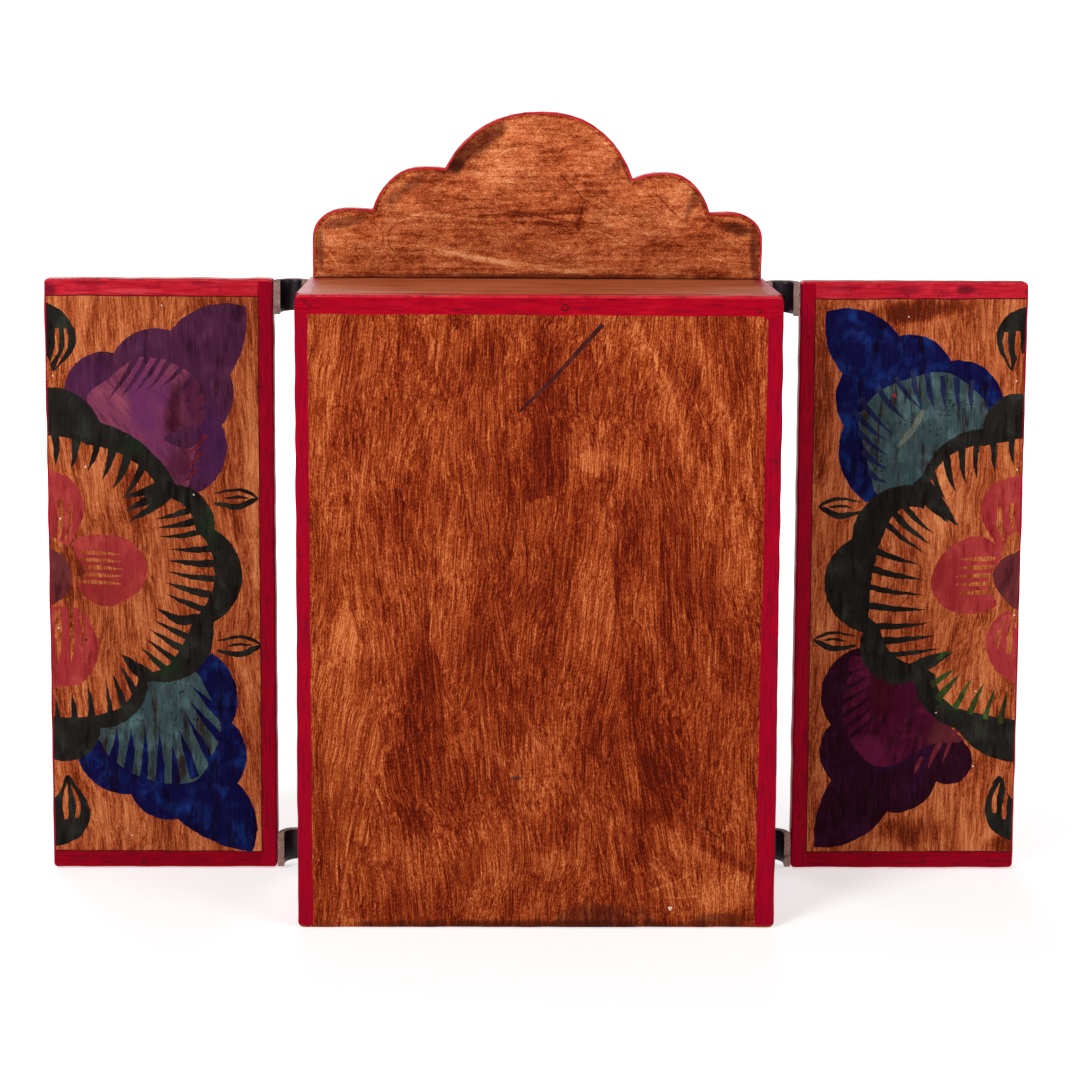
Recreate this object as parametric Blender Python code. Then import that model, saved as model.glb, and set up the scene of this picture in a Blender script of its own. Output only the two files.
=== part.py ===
"""A small painted wooden box shrine that stands with both doors swung open flat.

The open front faces -Y, +X is to the right seen from the front, and the part stands on z = 0.
The hollow box carries a scalloped crest board. Each door hangs on two looped leather straps.
"""
import math

import bmesh
import bpy
from mathutils import Vector

# Driving dimensions, in metres
BOX_WIDTH = 0.180
BOX_HEIGHT = 0.240
BOX_DEPTH = 0.080
BOARD_THICKNESS = 0.009
BACK_THICKNESS = 0.006
BACK_CORNER_RADIUS = 0.0022
CREST_HEIGHT = 0.0654
CREST_THICKNESS = 0.008
CREST_INSET = 0.0014
DOOR_THICKNESS = 0.008
DOOR_FLOOR_CLEARANCE = 0.0005
DOOR_TOP_CLEARANCE = 0.0005
DOOR_MEETING_GAP = 0.001
DOOR_OVERHANG = 0.0008
DOOR_CORNER_RADIUS = 0.0016
OPEN_DOOR_SPACING = 0.0142
LEATHER_THICKNESS = 0.0025
STRAP_HEIGHT_AT_BOX = 0.0116
STRAP_HEIGHT_AT_DOOR = 0.0136
STRAP_REACH_ON_BOX = 0.010
STRAP_END_INSET = 0.0008
GLUE_GAP = 0.0003
EDGE_ROUNDING = 0.0006

# The crest's scallops from -X to +X. Each is a superellipse arc: its centre and its reach to
# either side are shares of the crest's half width, its top and drop shares of the crest's height.
SCALLOPS = (
    {"centre": -0.851, "reach_left": 0.149, "reach_right": 0.282, "top": 0.402, "drop": 0.170},
    {"centre": -0.561, "reach_left": 0.218, "reach_right": 0.278, "top": 0.639, "drop": 0.402},
    {"centre": -0.019, "reach_left": 0.430, "reach_right": 0.477, "top": 1.000, "drop": 0.670},
    {"centre": 0.503, "reach_left": 0.384, "reach_right": 0.249, "top": 0.667, "drop": 0.453},
    {"centre": 0.836, "reach_left": 0.278, "reach_right": 0.164, "top": 0.419, "drop": 0.188},
)
SCALLOP_EXPONENT = 2.2
VALLEY_CLEARANCE = 0.0006

# How finely curves are cut, and the angles that count as sharp
SCALLOP_STEPS = 24
HALVINGS = 40
CORNER_STEPS = 4
BEND_STEPS = 12
ROUNDED_ABOVE = math.radians(50)
SHARP_ABOVE = math.radians(35)

# Places worked out from the sizes above. The loops stand a little in front of the box, and the
# origin is under the middle of the whole part, so the box sits that much further back.
LOOP_PROUD = LEATHER_THICKNESS / 2 + GLUE_GAP / 2
FRONT_Y = -(BOX_DEPTH - LOOP_PROUD) / 2
BACK_Y = FRONT_Y + BOX_DEPTH
BACK_PANEL_FRONT_Y = BACK_Y - BACK_THICKNESS
BOARDS_BACK_Y = BACK_PANEL_FRONT_Y - GLUE_GAP
HALF_WIDTH = BOX_WIDTH / 2
HINGE_X = HALF_WIDTH + (OPEN_DOOR_SPACING + DOOR_OVERHANG) / 2
HINGE_Y = FRONT_Y - GLUE_GAP / 2
DOOR_WIDTH = HALF_WIDTH + DOOR_OVERHANG - DOOR_MEETING_GAP / 2
DOOR_HINGE_EDGE_X = HALF_WIDTH + OPEN_DOOR_SPACING
DOOR_BOTTOM_Z = DOOR_FLOOR_CLEARANCE
DOOR_TOP_Z = BOX_HEIGHT - DOOR_TOP_CLEARANCE

GLAZE_BROWN = (0.30, 0.135, 0.045)
DOOR_GREEN = (0.020, 0.045, 0.030)
STRAP_BLACK = (0.012, 0.011, 0.012)


def make_material(name, colour, roughness):
    """A Principled material with one colour."""
    material = bpy.data.materials.new(name)
    material.use_nodes = True
    shader = material.node_tree.nodes["Principled BSDF"]
    shader.inputs["Base Color"].default_value = (*colour, 1.0)
    shader.inputs["Roughness"].default_value = roughness
    shader.inputs["Metallic"].default_value = 0.0
    return material


def add_object(name, mesh_builder, colour, roughness=0.5):
    """Turns a finished bmesh into a named object with its own material."""
    bmesh.ops.recalc_face_normals(mesh_builder, faces=mesh_builder.faces)
    mesh = bpy.data.meshes.new(name)
    mesh_builder.to_mesh(mesh)
    mesh_builder.free()
    mesh.materials.append(make_material(name + "_paint", colour, roughness))
    obj = bpy.data.objects.new(name, mesh)
    bpy.context.scene.collection.objects.link(obj)
    return obj


def round_edges(obj):
    """Rounds the sharp edges of a board, as paint and handling do."""
    bevel = obj.modifiers.new("rounded_edges", "BEVEL")
    bevel.width = EDGE_ROUNDING
    bevel.segments = 2
    bevel.limit_method = "ANGLE"
    bevel.angle_limit = ROUNDED_ABOVE
    obj.data.shade_smooth()
    obj.data.set_sharp_from_angle(angle=SHARP_ABOVE)


def extrude_outline(outline, y_front, y_back):
    """A closed solid whose outline in X and Z runs from y_front to y_back."""
    builder = bmesh.new()
    front = [builder.verts.new((x, y_front, z)) for x, z in outline]
    back = [builder.verts.new((x, y_back, z)) for x, z in outline]
    builder.faces.new(front)
    builder.faces.new(list(reversed(back)))
    for i in range(len(outline)):
        j = (i + 1) % len(outline)
        builder.faces.new((front[j], front[i], back[i], back[j]))
    return builder


def rounded_rectangle(x_low, x_high, z_low, z_high, radius):
    """Outline of an upright rectangle with round corners, counter-clockwise."""
    centres = (
        (x_high - radius, z_low + radius, -90),
        (x_high - radius, z_high - radius, 0),
        (x_low + radius, z_high - radius, 90),
        (x_low + radius, z_low + radius, 180),
    )
    outline = []
    for x, z, start in centres:
        for step in range(CORNER_STEPS + 1):
            angle = math.radians(start + 90 * step / CORNER_STEPS)
            outline.append((x + radius * math.cos(angle), z + radius * math.sin(angle)))
    return outline


def make_board(name, low, high, colour):
    """A plain board between two corners."""
    builder = bmesh.new()
    bmesh.ops.create_cube(builder, size=1.0)
    low = Vector(low)
    high = Vector(high)
    size = high - low
    middle = (high + low) / 2
    for vertex in builder.verts:
        vertex.co = Vector(a * b for a, b in zip(vertex.co, size)) + middle
    round_edges(add_object(name, builder, colour))


def make_box():
    """The hollow box: top and bottom boards lie over the side boards, and a panel closes the back."""
    make_board(
        "bottom_board",
        (-HALF_WIDTH, FRONT_Y, 0),
        (HALF_WIDTH, BOARDS_BACK_Y, BOARD_THICKNESS),
        GLAZE_BROWN,
    )
    make_board(
        "top_board",
        (-HALF_WIDTH, FRONT_Y, BOX_HEIGHT - BOARD_THICKNESS),
        (HALF_WIDTH, BOARDS_BACK_Y, BOX_HEIGHT),
        GLAZE_BROWN,
    )
    side_bottom = BOARD_THICKNESS + GLUE_GAP
    side_top = BOX_HEIGHT - BOARD_THICKNESS - GLUE_GAP
    for name, side in (("left_side_board", -1), ("right_side_board", 1)):
        x_faces = sorted((side * (HALF_WIDTH - BOARD_THICKNESS), side * HALF_WIDTH))
        make_board(
            name,
            (x_faces[0], FRONT_Y, side_bottom),
            (x_faces[1], BOARDS_BACK_Y, side_top),
            GLAZE_BROWN,
        )
    outline = rounded_rectangle(-HALF_WIDTH, HALF_WIDTH, 0, BOX_HEIGHT, BACK_CORNER_RADIUS)
    panel = add_object(
        "back_panel", extrude_outline(outline, BACK_PANEL_FRONT_Y, BACK_Y), GLAZE_BROWN
    )
    round_edges(panel)


def scallop_point(scallop, half_width, angle):
    """Point of one scallop's arc. Angle 0 is its +X end, 90 degrees its top, 180 its -X end."""
    power = 2 / SCALLOP_EXPONENT
    cosine = math.cos(angle)
    reach = scallop["reach_right"] if cosine > 0 else scallop["reach_left"]
    across = math.copysign(abs(cosine) ** power, cosine) * reach
    fall = scallop["drop"] * (1 - abs(math.sin(angle)) ** power)
    return (scallop["centre"] + across) * half_width, (scallop["top"] - fall) * CREST_HEIGHT


def scallop_height(scallop, half_width, x):
    """Height of one scallop's arc over x, or 0 past its ends."""
    offset = x / half_width - scallop["centre"]
    reach = scallop["reach_right"] if offset > 0 else scallop["reach_left"]
    share = abs(offset) / reach
    if share >= 1:
        return 0.0
    fall = 1 - (1 - share**SCALLOP_EXPONENT) ** (1 / SCALLOP_EXPONENT)
    return (scallop["top"] - scallop["drop"] * fall) * CREST_HEIGHT


def valley_between(first, second, half_width):
    """The x at which two neighbouring scallops cross, found by halving."""
    low = first["centre"] * half_width
    high = second["centre"] * half_width
    for _ in range(HALVINGS):
        middle = (low + high) / 2
        first_height = scallop_height(first, half_width, middle)
        second_height = scallop_height(second, half_width, middle)
        if second_height > first_height:
            high = middle
        else:
            low = middle
    return (low + high) / 2


def crest_outline(half_width):
    """The crest board's outline in X and Z above the box, from the lower -X corner, clockwise."""
    valleys = [valley_between(a, b, half_width) for a, b in zip(SCALLOPS, SCALLOPS[1:])]
    starts = [-math.inf, *valleys]
    ends = [*valleys, math.inf]
    outline = [(-half_width, 0.0)]
    for scallop, start, end in zip(SCALLOPS, starts, ends):
        if start in valleys:
            outline.append((start, scallop_height(scallop, half_width, start)))
        for step in range(SCALLOP_STEPS + 1):
            angle = math.pi * (1 - step / SCALLOP_STEPS)
            x, z = scallop_point(scallop, half_width, angle)
            if start + VALLEY_CLEARANCE < x < end - VALLEY_CLEARANCE:
                outline.append((x, z))
    outline.append((half_width, 0.0))
    return outline


def make_crest():
    """The scalloped board that stands on the front edge of the box top."""
    foot = BOX_HEIGHT + GLUE_GAP
    outline = [(x, foot + z) for x, z in crest_outline(HALF_WIDTH - CREST_INSET)]
    crest = add_object(
        "crest_board", extrude_outline(outline, FRONT_Y, FRONT_Y + CREST_THICKNESS), GLAZE_BROWN
    )
    round_edges(crest)


def make_hinge_axis(name, side):
    """An empty on the vertical line about which one door swings."""
    empty = bpy.data.objects.new(name, None)
    empty.location = (side * HINGE_X, HINGE_Y, 0)
    bpy.context.scene.collection.objects.link(empty)
    return empty


def make_door(name, side, axis):
    """A flat door, open in line with the box front, built about its own hinge line."""
    hinge_edge = side * (DOOR_HINGE_EDGE_X - HINGE_X)
    free_edge = side * (DOOR_HINGE_EDGE_X - HINGE_X + DOOR_WIDTH)
    outline = rounded_rectangle(
        min(hinge_edge, free_edge),
        max(hinge_edge, free_edge),
        DOOR_BOTTOM_Z,
        DOOR_TOP_Z,
        DOOR_CORNER_RADIUS,
    )
    inner_y = FRONT_Y - HINGE_Y
    door = add_object(
        name, extrude_outline(outline, inner_y, inner_y + DOOR_THICKNESS), DOOR_GREEN
    )
    round_edges(door)
    door.parent = axis


def strap_centreline():
    """The looped strap's middle line from the box to the door, as (x, y) about the hinge line.

    It lies on the box side, turns round in front of the hinge line and lies on the door's edge.
    """
    half_leather = LEATHER_THICKNESS / 2
    box_leg_x = HALF_WIDTH + GLUE_GAP + half_leather - HINGE_X
    door_leg_x = DOOR_HINGE_EDGE_X - GLUE_GAP - half_leather - HINGE_X
    bend_radius = (door_leg_x - box_leg_x) / 2
    bend_x = (door_leg_x + box_leg_x) / 2
    box_end_y = FRONT_Y + STRAP_REACH_ON_BOX - HINGE_Y
    door_end_y = FRONT_Y + DOOR_THICKNESS - HINGE_Y
    line = [(box_leg_x, box_end_y)]
    for step in range(BEND_STEPS + 1):
        angle = math.pi * (1 + step / BEND_STEPS)
        x = bend_x + bend_radius * math.cos(angle)
        y = bend_radius + bend_radius * math.sin(angle)
        line.append((x, y))
    line.append((door_leg_x, door_end_y))
    return line


def offset_line(line, distance):
    """The line moved sideways by distance, to the left of its direction."""
    moved = []
    for i, point in enumerate(line):
        before = Vector(line[max(i - 1, 0)])
        after = Vector(line[min(i + 1, len(line) - 1)])
        along = (after - before).normalized()
        moved.append(Vector(point) + Vector((-along.y, along.x)) * distance)
    return moved


def make_strap(name, side, at_top):
    """One leather strap. It is a little taller where it is glued to the door."""
    line = strap_centreline()
    inner = offset_line(line, LEATHER_THICKNESS / 2)
    outer = offset_line(line, -LEATHER_THICKNESS / 2)
    lengths = [0.0]
    for a, b in zip(line, line[1:]):
        lengths.append(lengths[-1] + math.dist(a, b))
    builder = bmesh.new()
    rings = []
    for near, far, length in zip(inner, outer, lengths):
        share = length / lengths[-1]
        height = STRAP_HEIGHT_AT_BOX + (STRAP_HEIGHT_AT_DOOR - STRAP_HEIGHT_AT_BOX) * share
        if at_top:
            top = BOX_HEIGHT - STRAP_END_INSET
            bottom = top - height
        else:
            bottom = STRAP_END_INSET + (STRAP_HEIGHT_AT_DOOR - height)
            top = bottom + height
        ring = [
            (side * near.x, near.y, bottom),
            (side * far.x, far.y, bottom),
            (side * far.x, far.y, top),
            (side * near.x, near.y, top),
        ]
        rings.append([builder.verts.new(corner) for corner in ring])
    builder.faces.new(rings[0])
    builder.faces.new(list(reversed(rings[-1])))
    for first, second in zip(rings, rings[1:]):
        for i in range(4):
            j = (i + 1) % 4
            builder.faces.new((first[j], first[i], second[i], second[j]))
    strap = add_object(name, builder, STRAP_BLACK, 0.45)
    strap.location = (side * HINGE_X, HINGE_Y, 0)
    strap.data.shade_smooth()
    strap.data.set_sharp_from_angle(angle=SHARP_ABOVE)


def make_doors_and_straps():
    """Both doors with their hinge lines, and two straps for each."""
    for side_name, side in (("left", -1), ("right", 1)):
        axis = make_hinge_axis(side_name + "_hinge_axis", side)
        make_door(side_name + "_door", side, axis)
        make_strap(side_name + "_top_strap", side, at_top=True)
        make_strap(side_name + "_bottom_strap", side, at_top=False)


def main():
    for old in list(bpy.data.objects):
        bpy.data.objects.remove(old, do_unlink=True)
    make_box()
    make_crest()
    make_doors_and_straps()


main()
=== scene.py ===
"""Looks of a small painted wooden box shrine, seen from behind with both doors open.

Every board is one closed mesh. Its painted face is cut into flat areas along the outlines of the
painting, and each area has its own brushed paint. Paintings are drawn in millimetres.
"""

import math

import bmesh
import bpy
import numpy as np
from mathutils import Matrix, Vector, noise
from mathutils.geometry import delaunay_2d_cdt


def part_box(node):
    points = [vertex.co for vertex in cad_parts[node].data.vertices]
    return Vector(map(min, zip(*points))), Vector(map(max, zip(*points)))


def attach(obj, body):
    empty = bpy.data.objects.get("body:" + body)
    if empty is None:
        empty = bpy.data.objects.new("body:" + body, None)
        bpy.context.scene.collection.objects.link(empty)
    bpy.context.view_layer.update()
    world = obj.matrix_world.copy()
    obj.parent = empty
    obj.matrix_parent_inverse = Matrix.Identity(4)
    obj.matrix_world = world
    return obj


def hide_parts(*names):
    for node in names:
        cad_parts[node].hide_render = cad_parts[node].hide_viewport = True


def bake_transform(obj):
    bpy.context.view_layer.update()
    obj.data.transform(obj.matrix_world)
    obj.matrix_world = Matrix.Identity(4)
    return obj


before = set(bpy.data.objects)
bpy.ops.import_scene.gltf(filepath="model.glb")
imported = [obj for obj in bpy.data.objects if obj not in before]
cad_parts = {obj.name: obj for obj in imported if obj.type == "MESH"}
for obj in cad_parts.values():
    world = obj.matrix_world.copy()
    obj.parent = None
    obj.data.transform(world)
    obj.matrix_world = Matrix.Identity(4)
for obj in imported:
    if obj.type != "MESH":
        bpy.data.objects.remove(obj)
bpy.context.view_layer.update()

MM = 0.001

# How finely outlines are drawn
ARC_STEPS = 10
CURVE_STEPS = 5
BLOB_STEPS = 9
ROUNDING_STEPS = 4
OUTLINE_SPACING = 3.0
WELD_DISTANCE = 2e-6
CDT_TOLERANCE = 1e-4

# Boards, in millimetres. Their places and sizes come from the frame.
BOARD_ROUNDING = 0.5
BOARD_CORNER = 0.6
PANEL_ROUNDING = 0.9
PANEL_CORNER = 2.2
DOOR_ROUNDING = 0.8
CREST_ROUNDING = 0.7
ROUNDING_CHANGE = 0.3
ROUNDING_PATCH = 9.0
FOOT_HEIGHT = 0.5
PAST_EDGE = 3.0

# The camera that took the picture: metres, degrees, and millimetres for its lens and sensor
CAMERA_PLACE = (0.0117, 0.9831, 0.3254)
CAMERA_TURN = (82.989, -0.286, 179.303)
CAMERA_LENS = 85.93
CAMERA_SENSOR = 36
CAMERA_SHIFT = -0.15


# Colours and shader nodes

# Roughness and shine of the glaze, the painting and the red borders
GLAZE_ROUGHNESS = 0.45
GLAZE_SHINE = 0.03
PAINT_ROUGHNESS = 0.5
PAINT_SHINE = 0.012
RED_ROUGHNESS = 0.4
RED_SHINE = 0.03


def srgb(red, green, blue):
    """A linear colour from red, green and blue between 0 and 255."""
    channels = []
    for value in (red, green, blue):
        share = value / 255
        if share <= 0.04045:
            channels.append(share / 12.92)
        else:
            channels.append(((share + 0.055) / 1.055) ** 2.4)
    return (*channels, 1.0)


class Shader:
    """A material with short calls that add nodes and link them."""

    def __init__(self, name, roughness, specular):
        self.material = bpy.data.materials.new(name)
        self.material.use_nodes = True
        self.tree = self.material.node_tree
        self.surface = self.tree.nodes["Principled BSDF"]
        self.surface.inputs["Roughness"].default_value = roughness
        self.surface.inputs["Specular IOR Level"].default_value = specular
        self.place = self.tree.nodes.new("ShaderNodeTexCoord").outputs["Object"]
        self.spot_edge = None

    def feed(self, socket, value):
        """Links value to the socket, or sets it there if it is a plain value."""
        if isinstance(value, bpy.types.NodeSocket):
            self.tree.links.new(value, socket)
        else:
            socket.default_value = value

    def math(self, operation, first, second=0.0, clamp=False):
        node = self.tree.nodes.new("ShaderNodeMath")
        node.operation = operation
        node.use_clamp = clamp
        self.feed(node.inputs[0], first)
        self.feed(node.inputs[1], second)
        return node.outputs[0]

    def vector(self, operation, first, second):
        node = self.tree.nodes.new("ShaderNodeVectorMath")
        node.operation = operation
        self.feed(node.inputs[0], first)
        self.feed(node.inputs[1], second)
        return node.outputs["Value" if operation == "DOT_PRODUCT" else "Vector"]

    def turned(self, source, lean):
        """The place turned by lean, in degrees, about the Y axis."""
        node = self.tree.nodes.new("ShaderNodeMapping")
        self.feed(node.inputs["Vector"], source)
        node.inputs["Rotation"].default_value = (0, math.radians(lean), 0)
        return node.outputs["Vector"]

    def noise(self, source, size, detail=3.0, roughness=0.55, distortion=0.0):
        """Noise whose patches measure size, in millimetres along X, Y and Z."""
        scaled = self.vector("MULTIPLY", source, tuple(1 / (MM * s) for s in size))
        node = self.tree.nodes.new("ShaderNodeTexNoise")
        self.feed(node.inputs["Vector"], scaled)
        node.inputs["Scale"].default_value = 1.0
        node.inputs["Detail"].default_value = detail
        node.inputs["Roughness"].default_value = roughness
        node.inputs["Distortion"].default_value = distortion
        return node.outputs["Fac"]

    def patches(self, source, size, ragged):
        """A chance colour for each of many patches with ragged edges. Sizes are in millimetres."""
        swing = self.math("SUBTRACT", self.noise(source, (2.4, 2.4, 14), 2), 0.5)
        moved = self.vector("MULTIPLY", swing, (ragged * MM, ragged * MM, 2 * ragged * MM))
        moved = self.vector("ADD", source, moved)
        scaled = self.vector("MULTIPLY", moved, tuple(1 / (MM * s) for s in size))
        node = self.tree.nodes.new("ShaderNodeTexVoronoi")
        self.feed(node.inputs["Vector"], scaled)
        node.inputs["Scale"].default_value = 1.0
        return node.outputs["Color"]

    def slanted(self, source, angle):
        """The place turned about the Y axis by an angle that differs from place to place."""
        node = self.tree.nodes.new("ShaderNodeVectorRotate")
        node.rotation_type = "Y_AXIS"
        self.feed(node.inputs["Vector"], source)
        self.feed(node.inputs["Angle"], angle)
        return node.outputs["Vector"]

    def cells(self, source, size, feature="F1"):
        """Distance to the nearest of many points that lie about size apart, in millimetres."""
        scaled = self.vector("MULTIPLY", source, (1 / (MM * size),) * 3)
        node = self.tree.nodes.new("ShaderNodeTexVoronoi")
        node.feature = feature
        self.feed(node.inputs["Vector"], scaled)
        node.inputs["Scale"].default_value = 1.0
        return node.outputs["Distance"]

    def ramp(self, factor, stops):
        """Colours blended over factor. Each stop is a position and a colour."""
        node = self.tree.nodes.new("ShaderNodeValToRGB")
        self.feed(node.inputs["Fac"], factor)
        elements = node.color_ramp.elements
        while len(elements) < len(stops):
            elements.new(0.5)
        for element, (position, colour) in zip(elements, stops):
            element.position = position
            element.color = colour
        return node.outputs["Color"]

    def between(self, factor, low, high):
        """Factor moved so that low becomes 0 and high becomes 1, with soft ends."""
        node = self.tree.nodes.new("ShaderNodeMapRange")
        node.interpolation_type = "SMOOTHSTEP"
        self.feed(node.inputs["Value"], factor)
        node.inputs["From Min"].default_value = low
        node.inputs["From Max"].default_value = high
        return node.outputs["Result"]

    def mix(self, factor, first, second, blend="MIX"):
        node = self.tree.nodes.new("ShaderNodeMix")
        node.data_type = "RGBA"
        node.blend_type = blend
        self.feed(node.inputs[0], factor)
        self.feed(node.inputs[6], first)
        self.feed(node.inputs[7], second)
        return node.outputs[2]

    def spot(self, centre, radii, lean=0.0, ragged=0.5):
        """A soft spot in X and Z: 1 in its middle, 0 outside. Sizes are in millimetres."""
        moved = self.vector("SUBTRACT", self.place, (centre[0] * MM, 0, centre[1] * MM))
        leaned = self.turned(moved, lean)
        scale = (1 / (radii[0] * MM), 0, 1 / (radii[1] * MM))
        scaled = self.vector("MULTIPLY", leaned, scale)
        squared = self.vector("DOT_PRODUCT", scaled, scaled)
        if self.spot_edge is None:
            self.spot_edge = self.math("SUBTRACT", self.noise(self.place, (6, 6, 12), 4), 0.5)
        edge = self.math("ADD", squared, self.math("MULTIPLY", self.spot_edge, 4 * ragged))
        return self.between(edge, 1.3, 0.0)

    def finish(self, colour, height, depth):
        """Feeds the colour to the surface, and a bump of depth millimetres from height."""
        self.feed(self.surface.inputs["Base Color"], colour)
        bump = self.tree.nodes.new("ShaderNodeBump")
        bump.inputs["Strength"].default_value = 1.0
        bump.inputs["Distance"].default_value = depth * MM
        self.feed(bump.inputs["Height"], height)
        self.feed(self.surface.inputs["Normal"], bump.outputs["Normal"])
        return self.material


# Brown glaze, brushed on in one direction

GLAZE_TONES = (
    (0.20, (70, 12, 2)),
    (0.37, (106, 26, 5)),
    (0.50, (138, 50, 17)),
    (0.63, (168, 76, 34)),
    (0.84, (212, 124, 70)),
)
DOOR_TONES = (
    (0.22, (84, 26, 9)),
    (0.37, (124, 46, 17)),
    (0.50, (163, 78, 40)),
    (0.63, (190, 106, 62)),
    (0.82, (216, 136, 86)),
)
CREST_TONES = (
    (0.20, (88, 26, 9)),
    (0.38, (150, 61, 26)),
    (0.50, (192, 96, 54)),
    (0.62, (218, 124, 74)),
    (0.82, (250, 176, 122)),
)
# Lighter tones for the top board's glaze: painted light where light falls on the top face
TOP_PAINTED_LIGHT_TONES = (
    (0.30, (150, 62, 32)),
    (0.50, (196, 98, 58)),
    (0.70, (232, 142, 96)),
)

# Layers of brushed glaze: sizes, share and detail of the stipple, streaks and patches
BACK_STREAKS = (
    ((0.42, 0.42, 0.9), 0.52, 2),
    ((0.55, 0.55, 15), 0.60, 2),
    ((1.5, 1.5, 40), 0.32, 2),
    ((14, 14, 46), 0.36, 2.5),
)
DOOR_STREAKS = (
    ((0.42, 0.42, 1.1), 0.34, 2),
    ((0.6, 0.6, 11), 0.50, 2.5),
    ((1.7, 1.7, 30), 0.34, 2),
    ((8, 8, 40), 0.34, 1.5),
)
TOP_STREAKS = (
    ((1.0, 0.5, 0.5), 0.2, 2),
    ((12, 0.7, 0.7), 0.34, 3),
    ((34, 2.2, 2.2), 0.36, 2),
    ((40, 14, 12), 0.2, 1.5),
)
CREST_STREAKS = (
    ((0.6, 0.5, 0.5), 0.48, 2),
    ((2.6, 1.8, 1.6), 0.34, 3),
    ((18, 2, 1.5), 0.36, 2),
    ((20, 14, 14), 0.26, 2.5),
)
STREAK_STRENGTH = 1.5

# Waves that bend the streaks: the size of each and how far it moves them, in millimetres
STREAK_WAVES = (((50, 50, 70), 16), ((12, 12, 18), 3.2))

# Size of one brush stroke on the back in millimetres, how ragged it ends, and how strokes differ
STROKE_SIZE = (26, 26, 80)
STROKE_RAGGED = 9
STROKE_CHANGE = 0.13

# Distance between the small raised grains in the crest's glaze, and the colour between them
PEBBLE_SPACING = 1.7
CRACK_COLOUR = (96, 36, 16)

RED_STAIN = (62, 12, 24)


def streaked(shader, tones, streaks, lean=0.0, spots=(), sway=1.0, lift=0.0, slant=0.0):
    """Colour and relief of streaky glaze.

    Each spot is a centre, radii, lean and how much lighter the glaze is there. Lift is how much
    lighter it is everywhere. Slant is how far the brush strokes' directions differ, in degrees, and
    the relief of such strokes stays upright, which renders faster.
    """
    place = shader.turned(shader.place, lean) if lean else shader.place
    tone = 0.5 + lift
    if slant:
        chance = shader.math("SUBTRACT", shader.patches(place, STROKE_SIZE, STROKE_RAGGED), 0.5)
        tone = shader.math("ADD", shader.math("MULTIPLY", chance, STROKE_CHANGE), tone)
        place = shader.slanted(place, shader.math("MULTIPLY", chance, 2 * math.radians(slant)))
    for sizes, reach in STREAK_WAVES:
        swing = shader.math("SUBTRACT", shader.noise(place, sizes, 1), 0.5)
        moved = shader.vector("MULTIPLY", swing, (reach * sway * MM, reach * sway * MM, 0))
        place = shader.vector("ADD", place, moved)
    relief = 0.0
    for i, (sizes, share, detail) in enumerate(streaks):
        layer = shader.noise(place, sizes, detail, 0.6)
        part = shader.math("MULTIPLY", shader.math("SUBTRACT", layer, 0.5), share * STREAK_STRENGTH)
        tone = shader.math("ADD", part, tone)
        if i < 2:
            raised = shader.noise(shader.place, sizes, 1, 0.6) if slant else layer
            relief = shader.math("ADD", shader.math("MULTIPLY", raised, share * STREAK_STRENGTH), relief)
    for centre, radii, spot_lean, change in spots:
        amount = shader.math("MULTIPLY", shader.spot(centre, radii, spot_lean), change)
        tone = shader.math("ADD", amount, tone)
    colour = shader.ramp(tone, [(position, srgb(*rgb)) for position, rgb in tones])
    return colour, relief


def spotted(shader, colour, spots):
    """The colour with soft spots over it. Each is a centre, radii, lean, strength and colour."""
    for centre, radii, lean, strength, rgb in spots:
        inside_spot = shader.spot(centre, radii, lean)
        colour = shader.mix(shader.math("MULTIPLY", inside_spot, strength), colour, srgb(*rgb))
    return colour


def glaze(
    name, streaks=BACK_STREAKS, lean=0.0, tones=GLAZE_TONES, spots=(), stains=(), depth=0.25,
    pebbles=0.0, shine=GLAZE_SHINE, lift=0.0, slant=0.0,
):
    """Streaky brown glaze, with lighter and darker spots, and spots of other colours for stains and painted
    shade.
    """
    shader = Shader(name, GLAZE_ROUGHNESS, shine)
    colour, relief = streaked(shader, tones, streaks, lean, spots, lift=lift, slant=slant)
    if pebbles:
        gaps = shader.cells(shader.place, PEBBLE_SPACING, "DISTANCE_TO_EDGE")
        raised = shader.between(gaps, 0.0, 0.25)
        clump = shader.between(shader.noise(shader.place, (14, 14, 9), 3), 0.42, 0.62)
        raised = shader.math("MULTIPLY", raised, clump)
        relief = shader.math("ADD", shader.math("MULTIPLY", raised, pebbles), relief)
        cracks = shader.math("MULTIPLY", shader.between(gaps, 0.10, 0.0), clump)
        colour = shader.mix(shader.math("MULTIPLY", cracks, 0.4), colour, srgb(*CRACK_COLOUR))
    return shader.finish(spotted(shader, colour, stains), relief, depth)


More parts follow.
